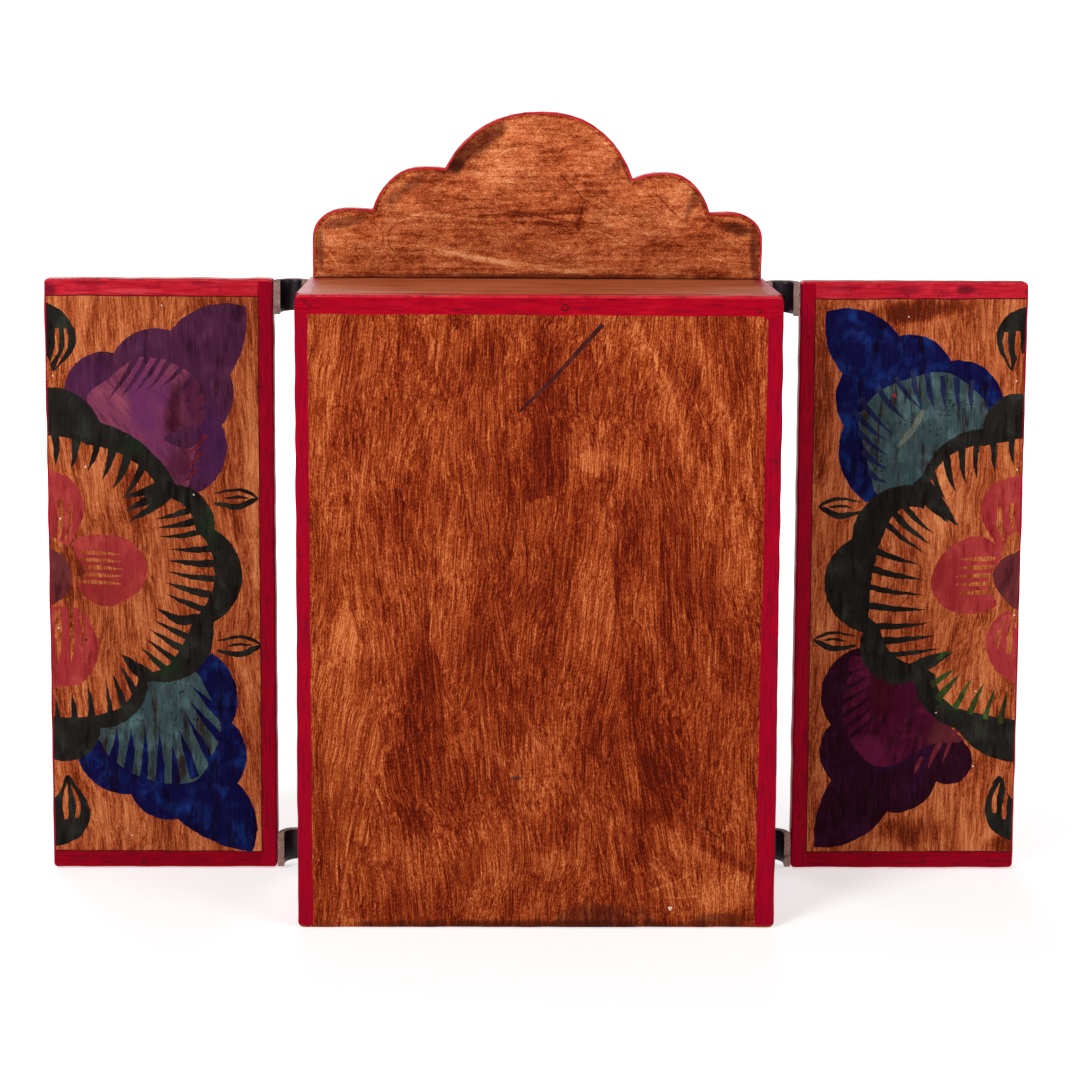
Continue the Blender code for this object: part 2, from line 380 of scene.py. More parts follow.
def paint(name, rgb, dark, light, cover=0.9, spots=(), specks=0.0, lean=0.0):
    """Thin brushed paint over the glaze.

    Dark and light are its streaks' colours, and cover says how little of the glaze shows through.
    """
    shader = Shader(name, PAINT_ROUGHNESS, PAINT_SHINE)
    under, _ = streaked(shader, DOOR_TONES, DOOR_STREAKS[1:3], sway=0.0)
    place = shader.turned(shader.place, lean) if lean else shader.place
    fine = shader.noise(place, (0.5, 0.5, 7), 4, 0.65)
    broad = shader.noise(place, (3, 3, 14), 3, 0.6)
    patch = shader.noise(shader.place, (8, 8, 10), 3, 0.6, 0.5)
    colour = shader.mix(shader.between(patch, 0.45, 0.75), srgb(*rgb), srgb(*light))
    colour = shader.mix(shader.between(broad, 0.52, 0.3), colour, srgb(*dark))
    colour = shader.mix(shader.between(fine, 0.60, 0.80), colour, srgb(*light))
    colour = shader.mix(shader.between(fine, 0.44, 0.28), colour, srgb(*dark))
    colour = spotted(shader, colour, spots)
    thin = shader.between(shader.math("ADD", fine, shader.math("MULTIPLY", patch, 0.5)), 0.62, 1.0)
    showing = shader.math("ADD", shader.math("MULTIPLY", thin, 1.2 * (1 - cover)), 0.6 * (1 - cover))
    colour = shader.mix(showing, colour, under)
    if specks:
        grains = shader.cells(shader.place, 1.4)
        clump = shader.noise(shader.place, (9, 9, 9), 2)
        size = shader.math("MULTIPLY", shader.between(clump, 0.4, 0.7), 0.34)
        dots = shader.math("LESS_THAN", grains, size)
        colour = shader.mix(shader.math("MULTIPLY", dots, specks), colour, srgb(*dark))
    return shader.finish(colour, fine, 0.12)


def red_paint(name, rgb, dark, light, sizes, stains=0.6, shine=RED_SHINE, spots=()):
    """Red border paint with dark stains and brush marks. Its spots have colours of their own."""
    shader = Shader(name, RED_ROUGHNESS, shine)
    fine = shader.noise(shader.place, sizes, 4, 0.65)
    patch = shader.noise(shader.place, tuple(4 + 0.6 * s for s in sizes), 4, 0.65, 0.4)
    stain = shader.noise(shader.place, (5, 5, 5), 5, 0.7, 0.8)
    colour = shader.mix(shader.between(patch, 0.42, 0.75), srgb(*rgb), srgb(*light))
    colour = shader.mix(shader.between(fine, 0.56, 0.3), colour, srgb(*dark))
    stained = shader.math("MULTIPLY", shader.between(stain, 0.58, 0.74), stains)
    colour = shader.mix(stained, colour, srgb(*RED_STAIN))
    return shader.finish(spotted(shader, colour, spots), fine, 0.08)


# Outlines in millimetres


def bowed(start, end, bulge):
    """Points on a circular arc from start to just before end, bowed to the left.

    Bulge is the arc's height as a share of the distance from start to end.
    """
    start = Vector(start)
    along = Vector(end) - start
    aside = Vector((-along.y, along.x))
    if abs(bulge) < 1e-6:
        return [start]
    radius = (0.25 + bulge * bulge) / (2 * bulge)
    sweep = 2 * math.asin(min(1.0, 0.5 / abs(radius)))
    points = []
    for step in range(ARC_STEPS):
        angle = sweep * (step / ARC_STEPS - 0.5)
        across = 0.5 + abs(radius) * math.sin(angle)
        height = radius * math.cos(angle) - (radius - bulge)
        points.append(start + along * across + aside * height)
    return points


def scalloped(corners):
    """A closed outline of arcs. Each corner is u, v and the bulge of the arc that starts there."""
    outline = []
    for (u, v, bulge), following in zip(corners, [*corners[1:], corners[0]]):
        outline.extend(bowed((u, v), following[:2], bulge))
    return outline


def curve_point(a, b, c, d, t):
    """Catmull-Rom point between b and c."""
    return 0.5 * (
        2 * b + (c - a) * t + (2 * a - 5 * b + 4 * c - d) * t**2 + (3 * b - a - 3 * c + d) * t**3
    )


def smooth_loop(points):
    """A closed smooth curve through the points."""
    points = [Vector(p) for p in points]
    count = len(points)
    outline = []
    for i in range(count):
        near = [points[(i + k) % count] for k in (-1, 0, 1, 2)]
        outline.extend(curve_point(*near, step / CURVE_STEPS) for step in range(CURVE_STEPS))
    return outline


def smooth_line(points):
    """An open smooth curve through the points."""
    points = [Vector(p) for p in points]
    ends = [2 * points[0] - points[1], *points, 2 * points[-1] - points[-2]]
    line = []
    for i in range(len(points) - 1):
        line.extend(curve_point(*ends[i : i + 4], step / CURVE_STEPS) for step in range(CURVE_STEPS))
    line.append(points[-1])
    return line


def brush(points, width, root=0.8, tip=0.0, swell=0.5):
    """Outline of one brush stroke: root and tip times its width at the ends, fuller between."""
    line = smooth_line(points)
    left = []
    right = []
    for i, point in enumerate(line):
        t = i / (len(line) - 1)
        along = (line[min(i + 1, len(line) - 1)] - line[max(i - 1, 0)]).normalized()
        half = width / 2 * max(0.04, root + (tip - root) * t + 4 * t * (1 - t) * swell)
        aside = Vector((-along.y, along.x)) * half
        left.append(point + aside)
        right.append(point - aside)
    return left + right[::-1]


def blob(centre, radius, uneven=0.25):
    """A small irregular dot."""
    outline = []
    for step in range(BLOB_STEPS):
        angle = math.tau * step / BLOB_STEPS
        reach = radius * (1 + uneven * math.sin(3 * angle + centre[0]))
        outline.append(Vector(centre) + Vector((math.cos(angle), math.sin(angle))) * reach)
    return outline


def dent(centre, radius, colour):
    """A small round dent that has gathered dark paint."""
    return [("dark_line", blob(centre, radius, 0.06)), (colour, blob(centre, radius * 0.6, 0.06))]


def wavy(start, end, height, seed, spacing=4.0):
    """Points along a hand-drawn line from start to just before end."""
    start = Vector(start)
    end = Vector(end)
    along = end - start
    aside = Vector((-along.y, along.x)).normalized()
    count = max(2, round(along.length / spacing))
    points = []
    for step in range(count):
        point = start + along * (step / count)
        broad = noise.noise((point.x / 14, point.y / 14, seed))
        fine = noise.noise((point.x / 5, point.y / 5, seed))
        points.append(point + aside * height * (broad + 0.5 * fine))
    return points


def wavy_outline(corners, height, seed):
    """A closed hand-drawn outline through the corners."""
    outline = []
    for i, corner in enumerate(corners):
        outline.extend(wavy(corner, corners[(i + 1) % len(corners)], height, seed + i))
    return outline


def rectangle(left, low, right, high):
    """Upright rectangle, counter-clockwise."""
    return [Vector(p) for p in ((left, low), (right, low), (right, high), (left, high))]


def rounded_rectangle(low, high, radius):
    """Upright rectangle with round corners, counter-clockwise."""
    centres = (
        (high[0] - radius, low[1] + radius, -90),
        (high[0] - radius, high[1] - radius, 0),
        (low[0] + radius, high[1] - radius, 90),
        (low[0] + radius, low[1] + radius, 180),
    )
    outline = []
    for p, q, start in centres:
        for step in range(ROUNDING_STEPS + 1):
            angle = math.radians(start + 90 * step / ROUNDING_STEPS)
            outline.append(Vector((p + radius * math.cos(angle), q + radius * math.sin(angle))))
    return outline


def evenly(outline, spacing=OUTLINE_SPACING):
    """The closed outline with its long edges cut into shorter ones."""
    points = []
    for i, a in enumerate(outline):
        b = outline[(i + 1) % len(outline)]
        count = max(1, round((b - a).length / spacing))
        points.extend(a.lerp(b, step / count) for step in range(count))
    return points


def outward(loop, i):
    """Outward direction at a corner of a counter-clockwise loop, as long as its mitre needs."""
    before = (loop[i] - loop[i - 1]).normalized()
    after = (loop[(i + 1) % len(loop)] - loop[i]).normalized()
    middle = Vector((before.y + after.y, -before.x - after.x))
    if middle.length < 1e-6:
        return Vector((after.y, -after.x))
    middle.normalize()
    return middle / max(0.5, middle.dot(Vector((after.y, -after.x))))


def inset(loop, distance):
    """The loop moved inwards."""
    return [p - outward(loop, i) * distance for i, p in enumerate(loop)]


def inside(points, outline):
    """Which of the points, an array of (u, v), lie inside the outline."""
    result = np.zeros(len(points), bool)
    corners = np.array([tuple(p) for p in outline])
    for a, b in zip(corners, np.roll(corners, -1, axis=0)):
        if a[1] == b[1]:
            continue
        crosses = (a[1] > points[:, 1]) != (b[1] > points[:, 1])
        at = a[0] + (points[:, 1] - a[1]) / (b[1] - a[1]) * (b[0] - a[0])
        result ^= crosses & (points[:, 0] < at)
    return result


# Boards

FACINGS = {
    "back": ((-1, 0, 0), (0, 0, 1), (0, 1, 0)),
    "top": ((1, 0, 0), (0, 1, 0), (0, 0, 1)),
    "bottom": ((-1, 0, 0), (0, 1, 0), (0, 0, -1)),
    "right": ((0, 1, 0), (0, 0, 1), (1, 0, 0)),
    "left": ((0, -1, 0), (0, 0, 1), (-1, 0, 0)),
}


def cut_up(outline, regions, extra=()):
    """Triangles that fill the outline and follow every region's edge.

    Returns corners, triangles and each triangle's material. Later regions lie over earlier ones.
    """
    points = []
    edges = []
    for shape in [outline, *(shape for _, shape in regions)]:
        first = len(points)
        points.extend(Vector(p) for p in shape)
        edges.extend((first + i, first + (i + 1) % len(shape)) for i in range(len(shape)))
    points.extend(extra)
    corners, _, triangles, *_ = delaunay_2d_cdt(points, edges, [], 0, CDT_TOLERANCE, False)
    flat = np.array([tuple(c) for c in corners])
    middles = flat[np.array(triangles)].mean(axis=1)
    kept = inside(middles, outline)
    owners = np.full(len(triangles), "", dtype=object)
    for material, shape in regions:
        owners[inside(middles, shape)] = material
    return corners, [t for t, k in zip(triangles, kept) if k], owners[kept]


def boundary_loop(corners, triangles):
    """The outer loop of corners around the triangles, counter-clockwise."""
    used = {}
    for a, b, c in triangles:
        for edge in ((a, b), (b, c), (c, a)):
            used[edge] = True
    following = {a: b for a, b in used if (b, a) not in used}
    start = next(iter(following))
    loop = [start]
    while following[loop[-1]] != start:
        loop.append(following[loop[-1]])
    return loop


def place_of(material, materials):
    """The material's place in the list, which it joins if it isn't in it yet."""
    if material not in materials:
        materials.append(material)
    return materials.index(material)


def add_triangles(builder, verts, triangles, owners, materials, smooth):
    """Adds one side of a board, with each triangle's material."""
    for triangle, owner in zip(triangles, owners):
        face = builder.faces.new([verts[i] for i in triangle])
        face.material_index = place_of(owner, materials)
        face.smooth = smooth


def edge_rings(loop, thickness, rounding, seed):
    """Rings of (point, depth) round a board's edge, which is rounded unevenly at both faces."""
    outs = [outward(loop, i) for i in range(len(loop))]
    radii = []
    for point in loop:
        patch = noise.noise((point.x / ROUNDING_PATCH, point.y / ROUNDING_PATCH, seed))
        radii.append(rounding * (1 + ROUNDING_CHANGE * patch))
    rings = []
    for far in (False, True):
        steps = range(ROUNDING_STEPS + 1)
        for step in reversed(steps) if far else steps:
            angle = math.pi / 2 * step / ROUNDING_STEPS
            depth = rounding * (1 - math.cos(angle))
            depth = thickness - depth if far else depth
            reach = math.sin(angle)
            ring = [(p + out * radius * reach, depth) for p, out, radius in zip(loop, outs, radii)]
            rings.append(ring)
    return rings


def add_edge(builder, rings, loop, indices):
    """Adds a board's edge. Indices are the materials of its sides, foot and head."""
    side, foot, head = indices
    lowest = min(point.y for point in loop)
    highest = max(point.y for point in loop)
    for near, far in zip(rings, rings[1:]):
        for i in range(len(loop)):
            j = (i + 1) % len(loop)
            face = builder.faces.new((near[i], far[i], far[j], near[j]))
            face.smooth = True
            face.material_index = side
            if max(loop[i].y, loop[j].y) < lowest + FOOT_HEIGHT:
                face.material_index = foot
            elif min(loop[i].y, loop[j].y) > highest - FOOT_HEIGHT:
                face.material_index = head


def close_up(builder):
    """Joins the faces and the edge into one closed mesh, with creases where a flat face ends."""
    bmesh.ops.remove_doubles(builder, verts=builder.verts, dist=WELD_DISTANCE)
    bmesh.ops.dissolve_degenerate(builder, edges=builder.edges, dist=WELD_DISTANCE / 4)
    loose = [v for v in builder.verts if not v.link_faces]
    bmesh.ops.delete(builder, geom=loose, context="VERTS")
    bmesh.ops.recalc_face_normals(builder, faces=builder.faces)
    for crease in builder.edges:
        smooth = [f.smooth for f in crease.link_faces]
        if len(smooth) == 2 and (smooth[0] != smooth[1]):
            crease.smooth = False


def board(
    name, facing, outline, span, regions, inner_regions, edge, rounding,
    relief=None, extra=(), foot=None, head=None,
):
    """One closed board.

    The outline is in the face's own millimetres, and span is the outer and the inner face's place
    along its normal. The first region covers the whole face. Foot and head are the lower and the
    upper edge's own paints.
    """
    across, up, normal = (Vector(axis) for axis in FACINGS[facing])
    outer, inner = span
    thickness = outer - inner
    corners, triangles, owners = cut_up(evenly(inset(outline, rounding)), regions, extra)
    triangles = [t if is_left_turn(corners, t) else t[::-1] for t in triangles]
    loop = [corners[i] for i in boundary_loop(corners, triangles)]
    inner_corners, inner_triangles, inner_owners = cut_up(loop, inner_regions)
    inner_triangles = [t[::-1] if is_left_turn(inner_corners, t) else t for t in inner_triangles]
    rim = {round_key(p) for p in loop}
    builder = bmesh.new()
    materials = []

    def vert(p, depth):
        return builder.verts.new((across * p[0] + up * p[1] + normal * (outer - depth)) * MM)

    def lift(p):
        return relief(p[0], p[1]) if relief and round_key(p) not in rim else 0.0

    outer_verts = [vert(corner, -lift(corner)) for corner in corners]
    add_triangles(builder, outer_verts, triangles, owners, materials, relief is not None)
    inner_verts = [vert(corner, thickness) for corner in inner_corners]
    add_triangles(builder, inner_verts, inner_triangles, inner_owners, materials, False)
    rings = [[vert(*spot) for spot in ring] for ring in edge_rings(loop, thickness, rounding, outer)]
    indices = [place_of(paint_name or edge, materials) for paint_name in (edge, foot, head)]
    add_edge(builder, rings, loop, indices)
    close_up(builder)
    return make_object(name, builder, [paints[m] for m in materials])


def round_key(point):
    """A point's place as whole thousandths, for finding it again."""
    return round(point[0] * 1000), round(point[1] * 1000)


def is_left_turn(corners, triangle):
    a, b, c = (corners[i] for i in triangle)
    return (b[0] - a[0]) * (c[1] - a[1]) - (b[1] - a[1]) * (c[0] - a[0]) > 0


def make_object(name, builder, materials):
    """Turns the bmesh into an object in the scene."""
    mesh = bpy.data.meshes.new(name)
    builder.to_mesh(mesh)
    builder.free()
    for material in materials:
        mesh.materials.append(material)
    obj = bpy.data.objects.new(name, mesh)
    bpy.context.scene.collection.objects.link(obj)
    return obj


def node_size(node):
    """Lowest and highest corner of a CAD node, in millimetres."""
    low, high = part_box(node)
    return low / MM, high / MM


# Paints. Colours are 0 to 255, and places are X and Z millimetres.

UPRIGHT = (0.8, 0.8, 12)
ALONG = (12, 0.8, 0.8)

BACK_SPOTS = (
    ((4, 140), (20, 78), 6, -0.08),
    ((-34, 62), (16, 50), -14, -0.08),
    ((44, 70), (12, 46), 4, -0.06),
    ((30, 212), (22, 14), -30, -0.08),
    ((-50, 196), (5, 46), -24, 0.13),
    ((-64, 206), (3, 34), -20, 0.09),
    ((-76, 150), (5, 60), 0, 0.05),
    ((-23, 178), (11, 5), 0, 0.12),
    ((-22, 187), (13, 9), 0, 0.05),
    ((68, 120), (8, 80), 4, 0.08),
    ((-44, 112), (2, 26), -8, 0.12),
    ((-34, 68), (3, 22), -10, 0.14),
    ((14, 92), (3, 34), 0, 0.08),
    ((-50, 34), (30, 6), 20, 0.12),
    ((-72, 14), (12, 8), 0, 0.12),
    ((-70, 28), (16, 2.4), 28, -0.16),
    ((-48, 17), (4, 17), -24, 0.17),
    ((-5, 25), (10, 7), 20, 0.12),
    ((-13, 15), (3, 15), 0, -0.16),
    ((52, 26), (20, 12), 0, 0.07),
    ((-48, 132), (30, 84), 0, -0.06),
)
# Dark spots on the back's glaze. The first three are painted shade along the panel's foot, where it stands
# on the floor; the last is a stain.
BACK_STAINS_AND_SHADE = (
    ((0, 1.2), (86, 2.2), 0, 0.85, (66, 20, 10)),
    ((-24, 4), (22, 6), 0, 0.6, (58, 20, 12)),
    ((-70, 3), (16, 3), 0, 0.6, (70, 20, 10)),
    ((8, 58), (2.4, 1), 0, 0.8, (52, 30, 34)),
)
CREST_SPOTS = (
    ((0, 266), (26, 1.6), -3, -0.16),
    ((-6, 262), (22, 1.2), 4, -0.14),
    ((-17, 265), (3, 7), 14, -0.12),
    ((-50, 262), (9, 8), 0, 0.06),
    ((22, 248), (22, 1.8), 14, 0.16),
    ((10, 246), (30, 1.2), 8, 0.12),
    ((60, 255), (7, 8), 0, 0.07),
    ((16, 284), (10, 12), 0, 0.07),
    ((-22, 282), (3, 12), 24, -0.06),
    ((-66, 254), (18, 12), 0, -0.05),
    ((-20, 262), (20, 8), 0, -0.04),
)
# Dark stains on the crest's glaze, and painted shade at its foot
CREST_STAINS_AND_SHADE = (
    ((26.5, 290.5), (19, 4), -37, 0.85, (80, 26, 13)),
    ((32, 284), (4.4, 3), -30, 0.9, (60, 18, 10)),
    ((52, 275), (12, 2.6), -35, 0.6, (90, 32, 18)),
    ((76, 262), (10, 2.2), -10, 0.6, (90, 34, 20)),
    ((-62, 272), (2.4, 9), 24, 0.6, (80, 28, 16)),
    ((-80, 260), (8, 2.6), 12, 0.8, (72, 22, 14)),
    ((-34, 288), (2.4, 12), 40, 0.5, (96, 36, 20)),
    ((-85.5, 251), (2, 10), 0, 0.8, (78, 24, 14)),
    ((85.5, 251), (2, 10), 0, 0.7, (90, 30, 16)),
    # Painted shade: a dark band along the crest's foot, where it stands on the top board
    ((0, 241), (90, 1.4), 0, 0.8, (92, 30, 18)),
)


def back_glaze(name, lift=0.0):
    """Glaze of the back panel."""
    return glaze(name, spots=BACK_SPOTS, stains=BACK_STAINS_AND_SHADE, lift=lift, slant=12)


def crest_glaze(name, lift=0.0):
    """Glaze of the crest, with small raised grains."""
    return glaze(
        name, streaks=CREST_STREAKS, tones=CREST_TONES, spots=CREST_SPOTS, stains=CREST_STAINS_AND_SHADE,
        depth=0.45, pebbles=0.5, lift=lift,
    )


paints = {
    "back_glaze": back_glaze("back_glaze"),
    "back_pale": back_glaze("back_pale", 0.10),
    "back_deep": back_glaze("back_deep", -0.12),
    "crest_glaze": crest_glaze("crest_glaze"),
    "crest_pale": crest_glaze("crest_pale", 0.10),
    "crest_deep": crest_glaze("crest_deep", -0.13),
    # The top board's glaze is painted lighter than the rest: painted light on the top face
    "top_glaze": glaze("top_glaze", streaks=TOP_STREAKS, tones=TOP_PAINTED_LIGHT_TONES, shine=0.1),
    "red_gloss": red_paint(
        "red_gloss", (196, 24, 44), (150, 14, 34), (228, 96, 104), UPRIGHT, 0.3, shine=0.5
    ),
    # Brighter red for the upper edges of the back panel and doors, and all round the crest: red edge paint
    # with a painted highlight
    "red_edge": red_paint(
        "red_edge", (204, 28, 42), (158, 12, 30), (224, 62, 64), (5, 5, 5), 0.8, shine=0.15
    ),
    "side_glaze": glaze("side_glaze"),
    "inside_glaze": glaze("inside_glaze"),
    "right_door_glaze": glaze(
        "right_door_glaze", streaks=DOOR_STREAKS, lean=-4, tones=DOOR_TONES,
        spots=(
            ((160, 152), (9, 20), 14, -0.14),
            ((185, 120), (5, 30), 0, -0.16),
            ((126, 226), (16, 10), 0, -0.10),
            ((112, 160), (4, 56), 0, 0.10),
            ((170, 20), (22, 10), 0, 0.06),
        ),
    ),
    "left_door_glaze": glaze(
        "left_door_glaze", streaks=DOOR_STREAKS, lean=2, tones=DOOR_TONES,
        spots=(
            ((-150, 228), (24, 5), -8, -0.26),
            ((-113, 190), (4, 40), 0, -0.16),
            ((-160, 150), (14, 16), 0, 0.12),
            ((-152, 16), (16, 6), 0, -0.16),
            ((-190, 10), (8, 5), 0, -0.26),
        ),
    ),
    # red_top and red_bottom are lighter and darker copies of one red: painted light on the doors' upper
    # borders and painted shade on their lower ones
    "red_top": red_paint(
        "red_top", (184, 26, 42), (146, 10, 34), (202, 46, 60), ALONG, 0.9,
        spots=(
            ((-146, 236), (6, 2), 0, 0.6, (108, 14, 34)),
            ((-170, 236.4), (5, 2.2), 0, 0.85, (92, 12, 30)),
            ((-120, 236.8), (9, 1.2), 0, 0.5, (120, 14, 34)),
            ((192, 235), (3, 3), 0, 0.8, (96, 12, 30)),
            ((176, 238), (9, 1.4), 0, 0.6, (112, 14, 32)),
            ((132, 238), (6, 1.2), 0, 0.6, (112, 14, 32)),
            ((160, 234.6), (12, 1.0), 0, 0.5, (214, 70, 78)),
        ),
    ),
    "red_band": red_paint("red_band", (162, 0, 26), (122, 2, 26), (180, 8, 34), ALONG, 0.8),
    "red_side": red_paint("red_side", (154, 0, 30), (120, 2, 30), (168, 0, 30), UPRIGHT),
    "red_bottom": red_paint("red_bottom", (140, 0, 24), (108, 2, 26), (156, 2, 26), ALONG),
    "dark_line": red_paint("dark_line", (84, 14, 18), (52, 12, 14), (116, 20, 26), (4, 4, 4)),
    "leaf_green": paint(
        "leaf_green", (28, 28, 26), (12, 13, 13), (42, 48, 42), 0.99,
        spots=(
            ((158, 174), (12, 4), -30, 0.6, (20, 40, 24)),
            ((129, 142), (6, 10), 30, 0.5, (22, 44, 26)),
            ((150, 84), (8, 5), 0, 0.6, (18, 48, 24)),
            ((-172, 72), (12, 8), 0, 0.6, (20, 50, 28)),
            ((-140, 120), (14, 40), 0, 0.6, (18, 20, 18)),
        ),
    ),
    "fresh_green": paint("fresh_green", (24, 56, 26), (14, 26, 18), (60, 100, 46), 0.95),
    "violet": paint(
        "violet", (68, 30, 58), (44, 16, 38), (82, 40, 74), 0.97,
        spots=(((127, 170), (9, 22), -10, 0.7, (62, 24, 74)), ((176, 200), (9, 8), 0, 0.4, (70, 28, 70))),
    ),
    "night_violet": paint(
        "night_violet", (36, 7, 24), (22, 4, 14), (50, 14, 48), 0.985,
        spots=(((-145, 50), (18, 10), 0, 0.7, (42, 11, 46)),),
    ),
    "mauve": paint(
        "mauve", (118, 54, 80), (80, 32, 60), (140, 68, 92), 0.96, lean=-36, specks=0.4,
        spots=(
            ((154, 190), (10, 18), 0, 0.9, (96, 40, 88)),
            ((136, 188), (11, 16), 0, 1.0, (66, 22, 52)),
            ((144, 186), (4, 12), 10, 0.9, (50, 12, 30)),
            ((133, 190), (4, 12), -10, 0.8, (84, 32, 56)),
            ((143, 166), (7, 9), 0, 0.9, (62, 20, 46)),
            ((150, 172), (8, 8), 0, 0.6, (98, 40, 84)),
        ),
    ),
    "magenta": paint(
        "magenta", (64, 8, 36), (38, 6, 22), (92, 22, 54), 0.98, lean=14,
        spots=(
            ((-133, 48), (12, 8), 0, 0.7, (96, 22, 58)),
            ((-140, 74), (6, 14), 0, 0.8, (50, 4, 18)),
            ((-166, 56), (8, 8), 0, 0.6, (92, 38, 40)),
        ),
    ),
    "rose": paint("rose", (94, 26, 42), (66, 14, 30), (118, 42, 52), 0.96),
    "pink": paint(
        "pink", (154, 44, 49), (124, 26, 32), (178, 68, 66), 0.93,
        spots=(
            ((-162, 116), (15, 18), 0, 0.7, (132, 28, 36)),
            ((173, 118), (13, 14), 0, 0.6, (128, 34, 34)),
        ),
    ),
    "heart": paint("heart", (94, 38, 44), (60, 18, 26), (116, 50, 54), 0.95),
    "blue": paint("blue", (9, 11, 58), (6, 5, 30), (14, 46, 110), 0.993),
    "blue_wash": paint("blue_wash", (18, 32, 68), (10, 12, 40), (34, 60, 84), 0.98),
    "teal": paint("teal", (42, 70, 74), (22, 28, 30), (72, 110, 112), 0.955, specks=0.85),
    "pale_teal": paint("pale_teal", (84, 98, 90), (54, 66, 64), (122, 126, 106), 0.93),
    "fleck": paint("fleck", (226, 208, 196), (190, 160, 140), (240, 230, 224), 0.97),
    "ink": paint("ink", (52, 20, 26), (36, 14, 20), (76, 30, 32), 0.93),
}


# Door paintings. u runs from the free edge to the hinge and v up from the bottom, in millimetres.


DOOR_CORNER = 1.6
LINE_WIDTH = 0.5
ROOT_LENGTH = 1.2
HAND_SPACING = 0.9
HAND_WAVE = 0.32


def comb(colour, first, last, count, width):
    """Strokes from base to tip. First and last are (base, tip) pairs, and the rest lie between."""
    strokes = []
    for i in range(count):
        share = i / (count - 1)
        base, tip = (Vector(a).lerp(Vector(b), share) for a, b in zip(first, last))
        base = base + (base - tip).normalized() * ROOT_LENGTH
        middle = base.lerp(tip, 0.5) + Vector((0.5, -0.6))
        changed = width * (1 + 0.12 * math.sin(2.4 * i))
        strokes.append((colour, brush((base, middle, tip), changed, 1.0, 0.0, 0.3)))
    return strokes


def painted_leaf(tip, length, height, width):
    """Two curved strokes that meet in a tip, with a short one between them."""
    u, v = tip
    back = u - length
    half = u - length / 2
    upper = ((back, v + height * 0.55), (half, v + height), (u - 3, v + height * 0.55), tip)
    lower = ((back, v - height * 0.6), (half, v - height), (u - 3, v - height * 0.4), tip)
    middle = ((u - length * 0.78, v - 0.2), (half, v + 0.5), (u - 4, v))
    return [
        brush(upper, width, 0.3, 0.3, 0.8),
        brush(lower, width * 1.9, 0.4, 0.2, 0.7),
        brush(middle, width, 0.3, 0.4, 0.5),
    ]


def flower(colour, corners):
    """One scalloped flower in a corner of the door."""
    return [(colour, scalloped(corners))]


def wreath(outer, hole, ground):
    """The green ring with its scalloped outside, and the glaze seen through it."""
    return [("leaf_green", scalloped(outer)), (ground, scalloped(hole))]


def all_in(colour, outlines):
    """Each outline with its colour."""
    return [(colour, outline) for outline in outlines]


def petal(colour, outline, ground, slits):
    """A petal or leaf with slits of glaze. Each slit is its line and its width."""
    return [
        (colour, smooth_loop(outline)),
        *all_in(ground, [brush(line, width, 0.7, 0.1, 0.5) for line, width in slits]),
    ]


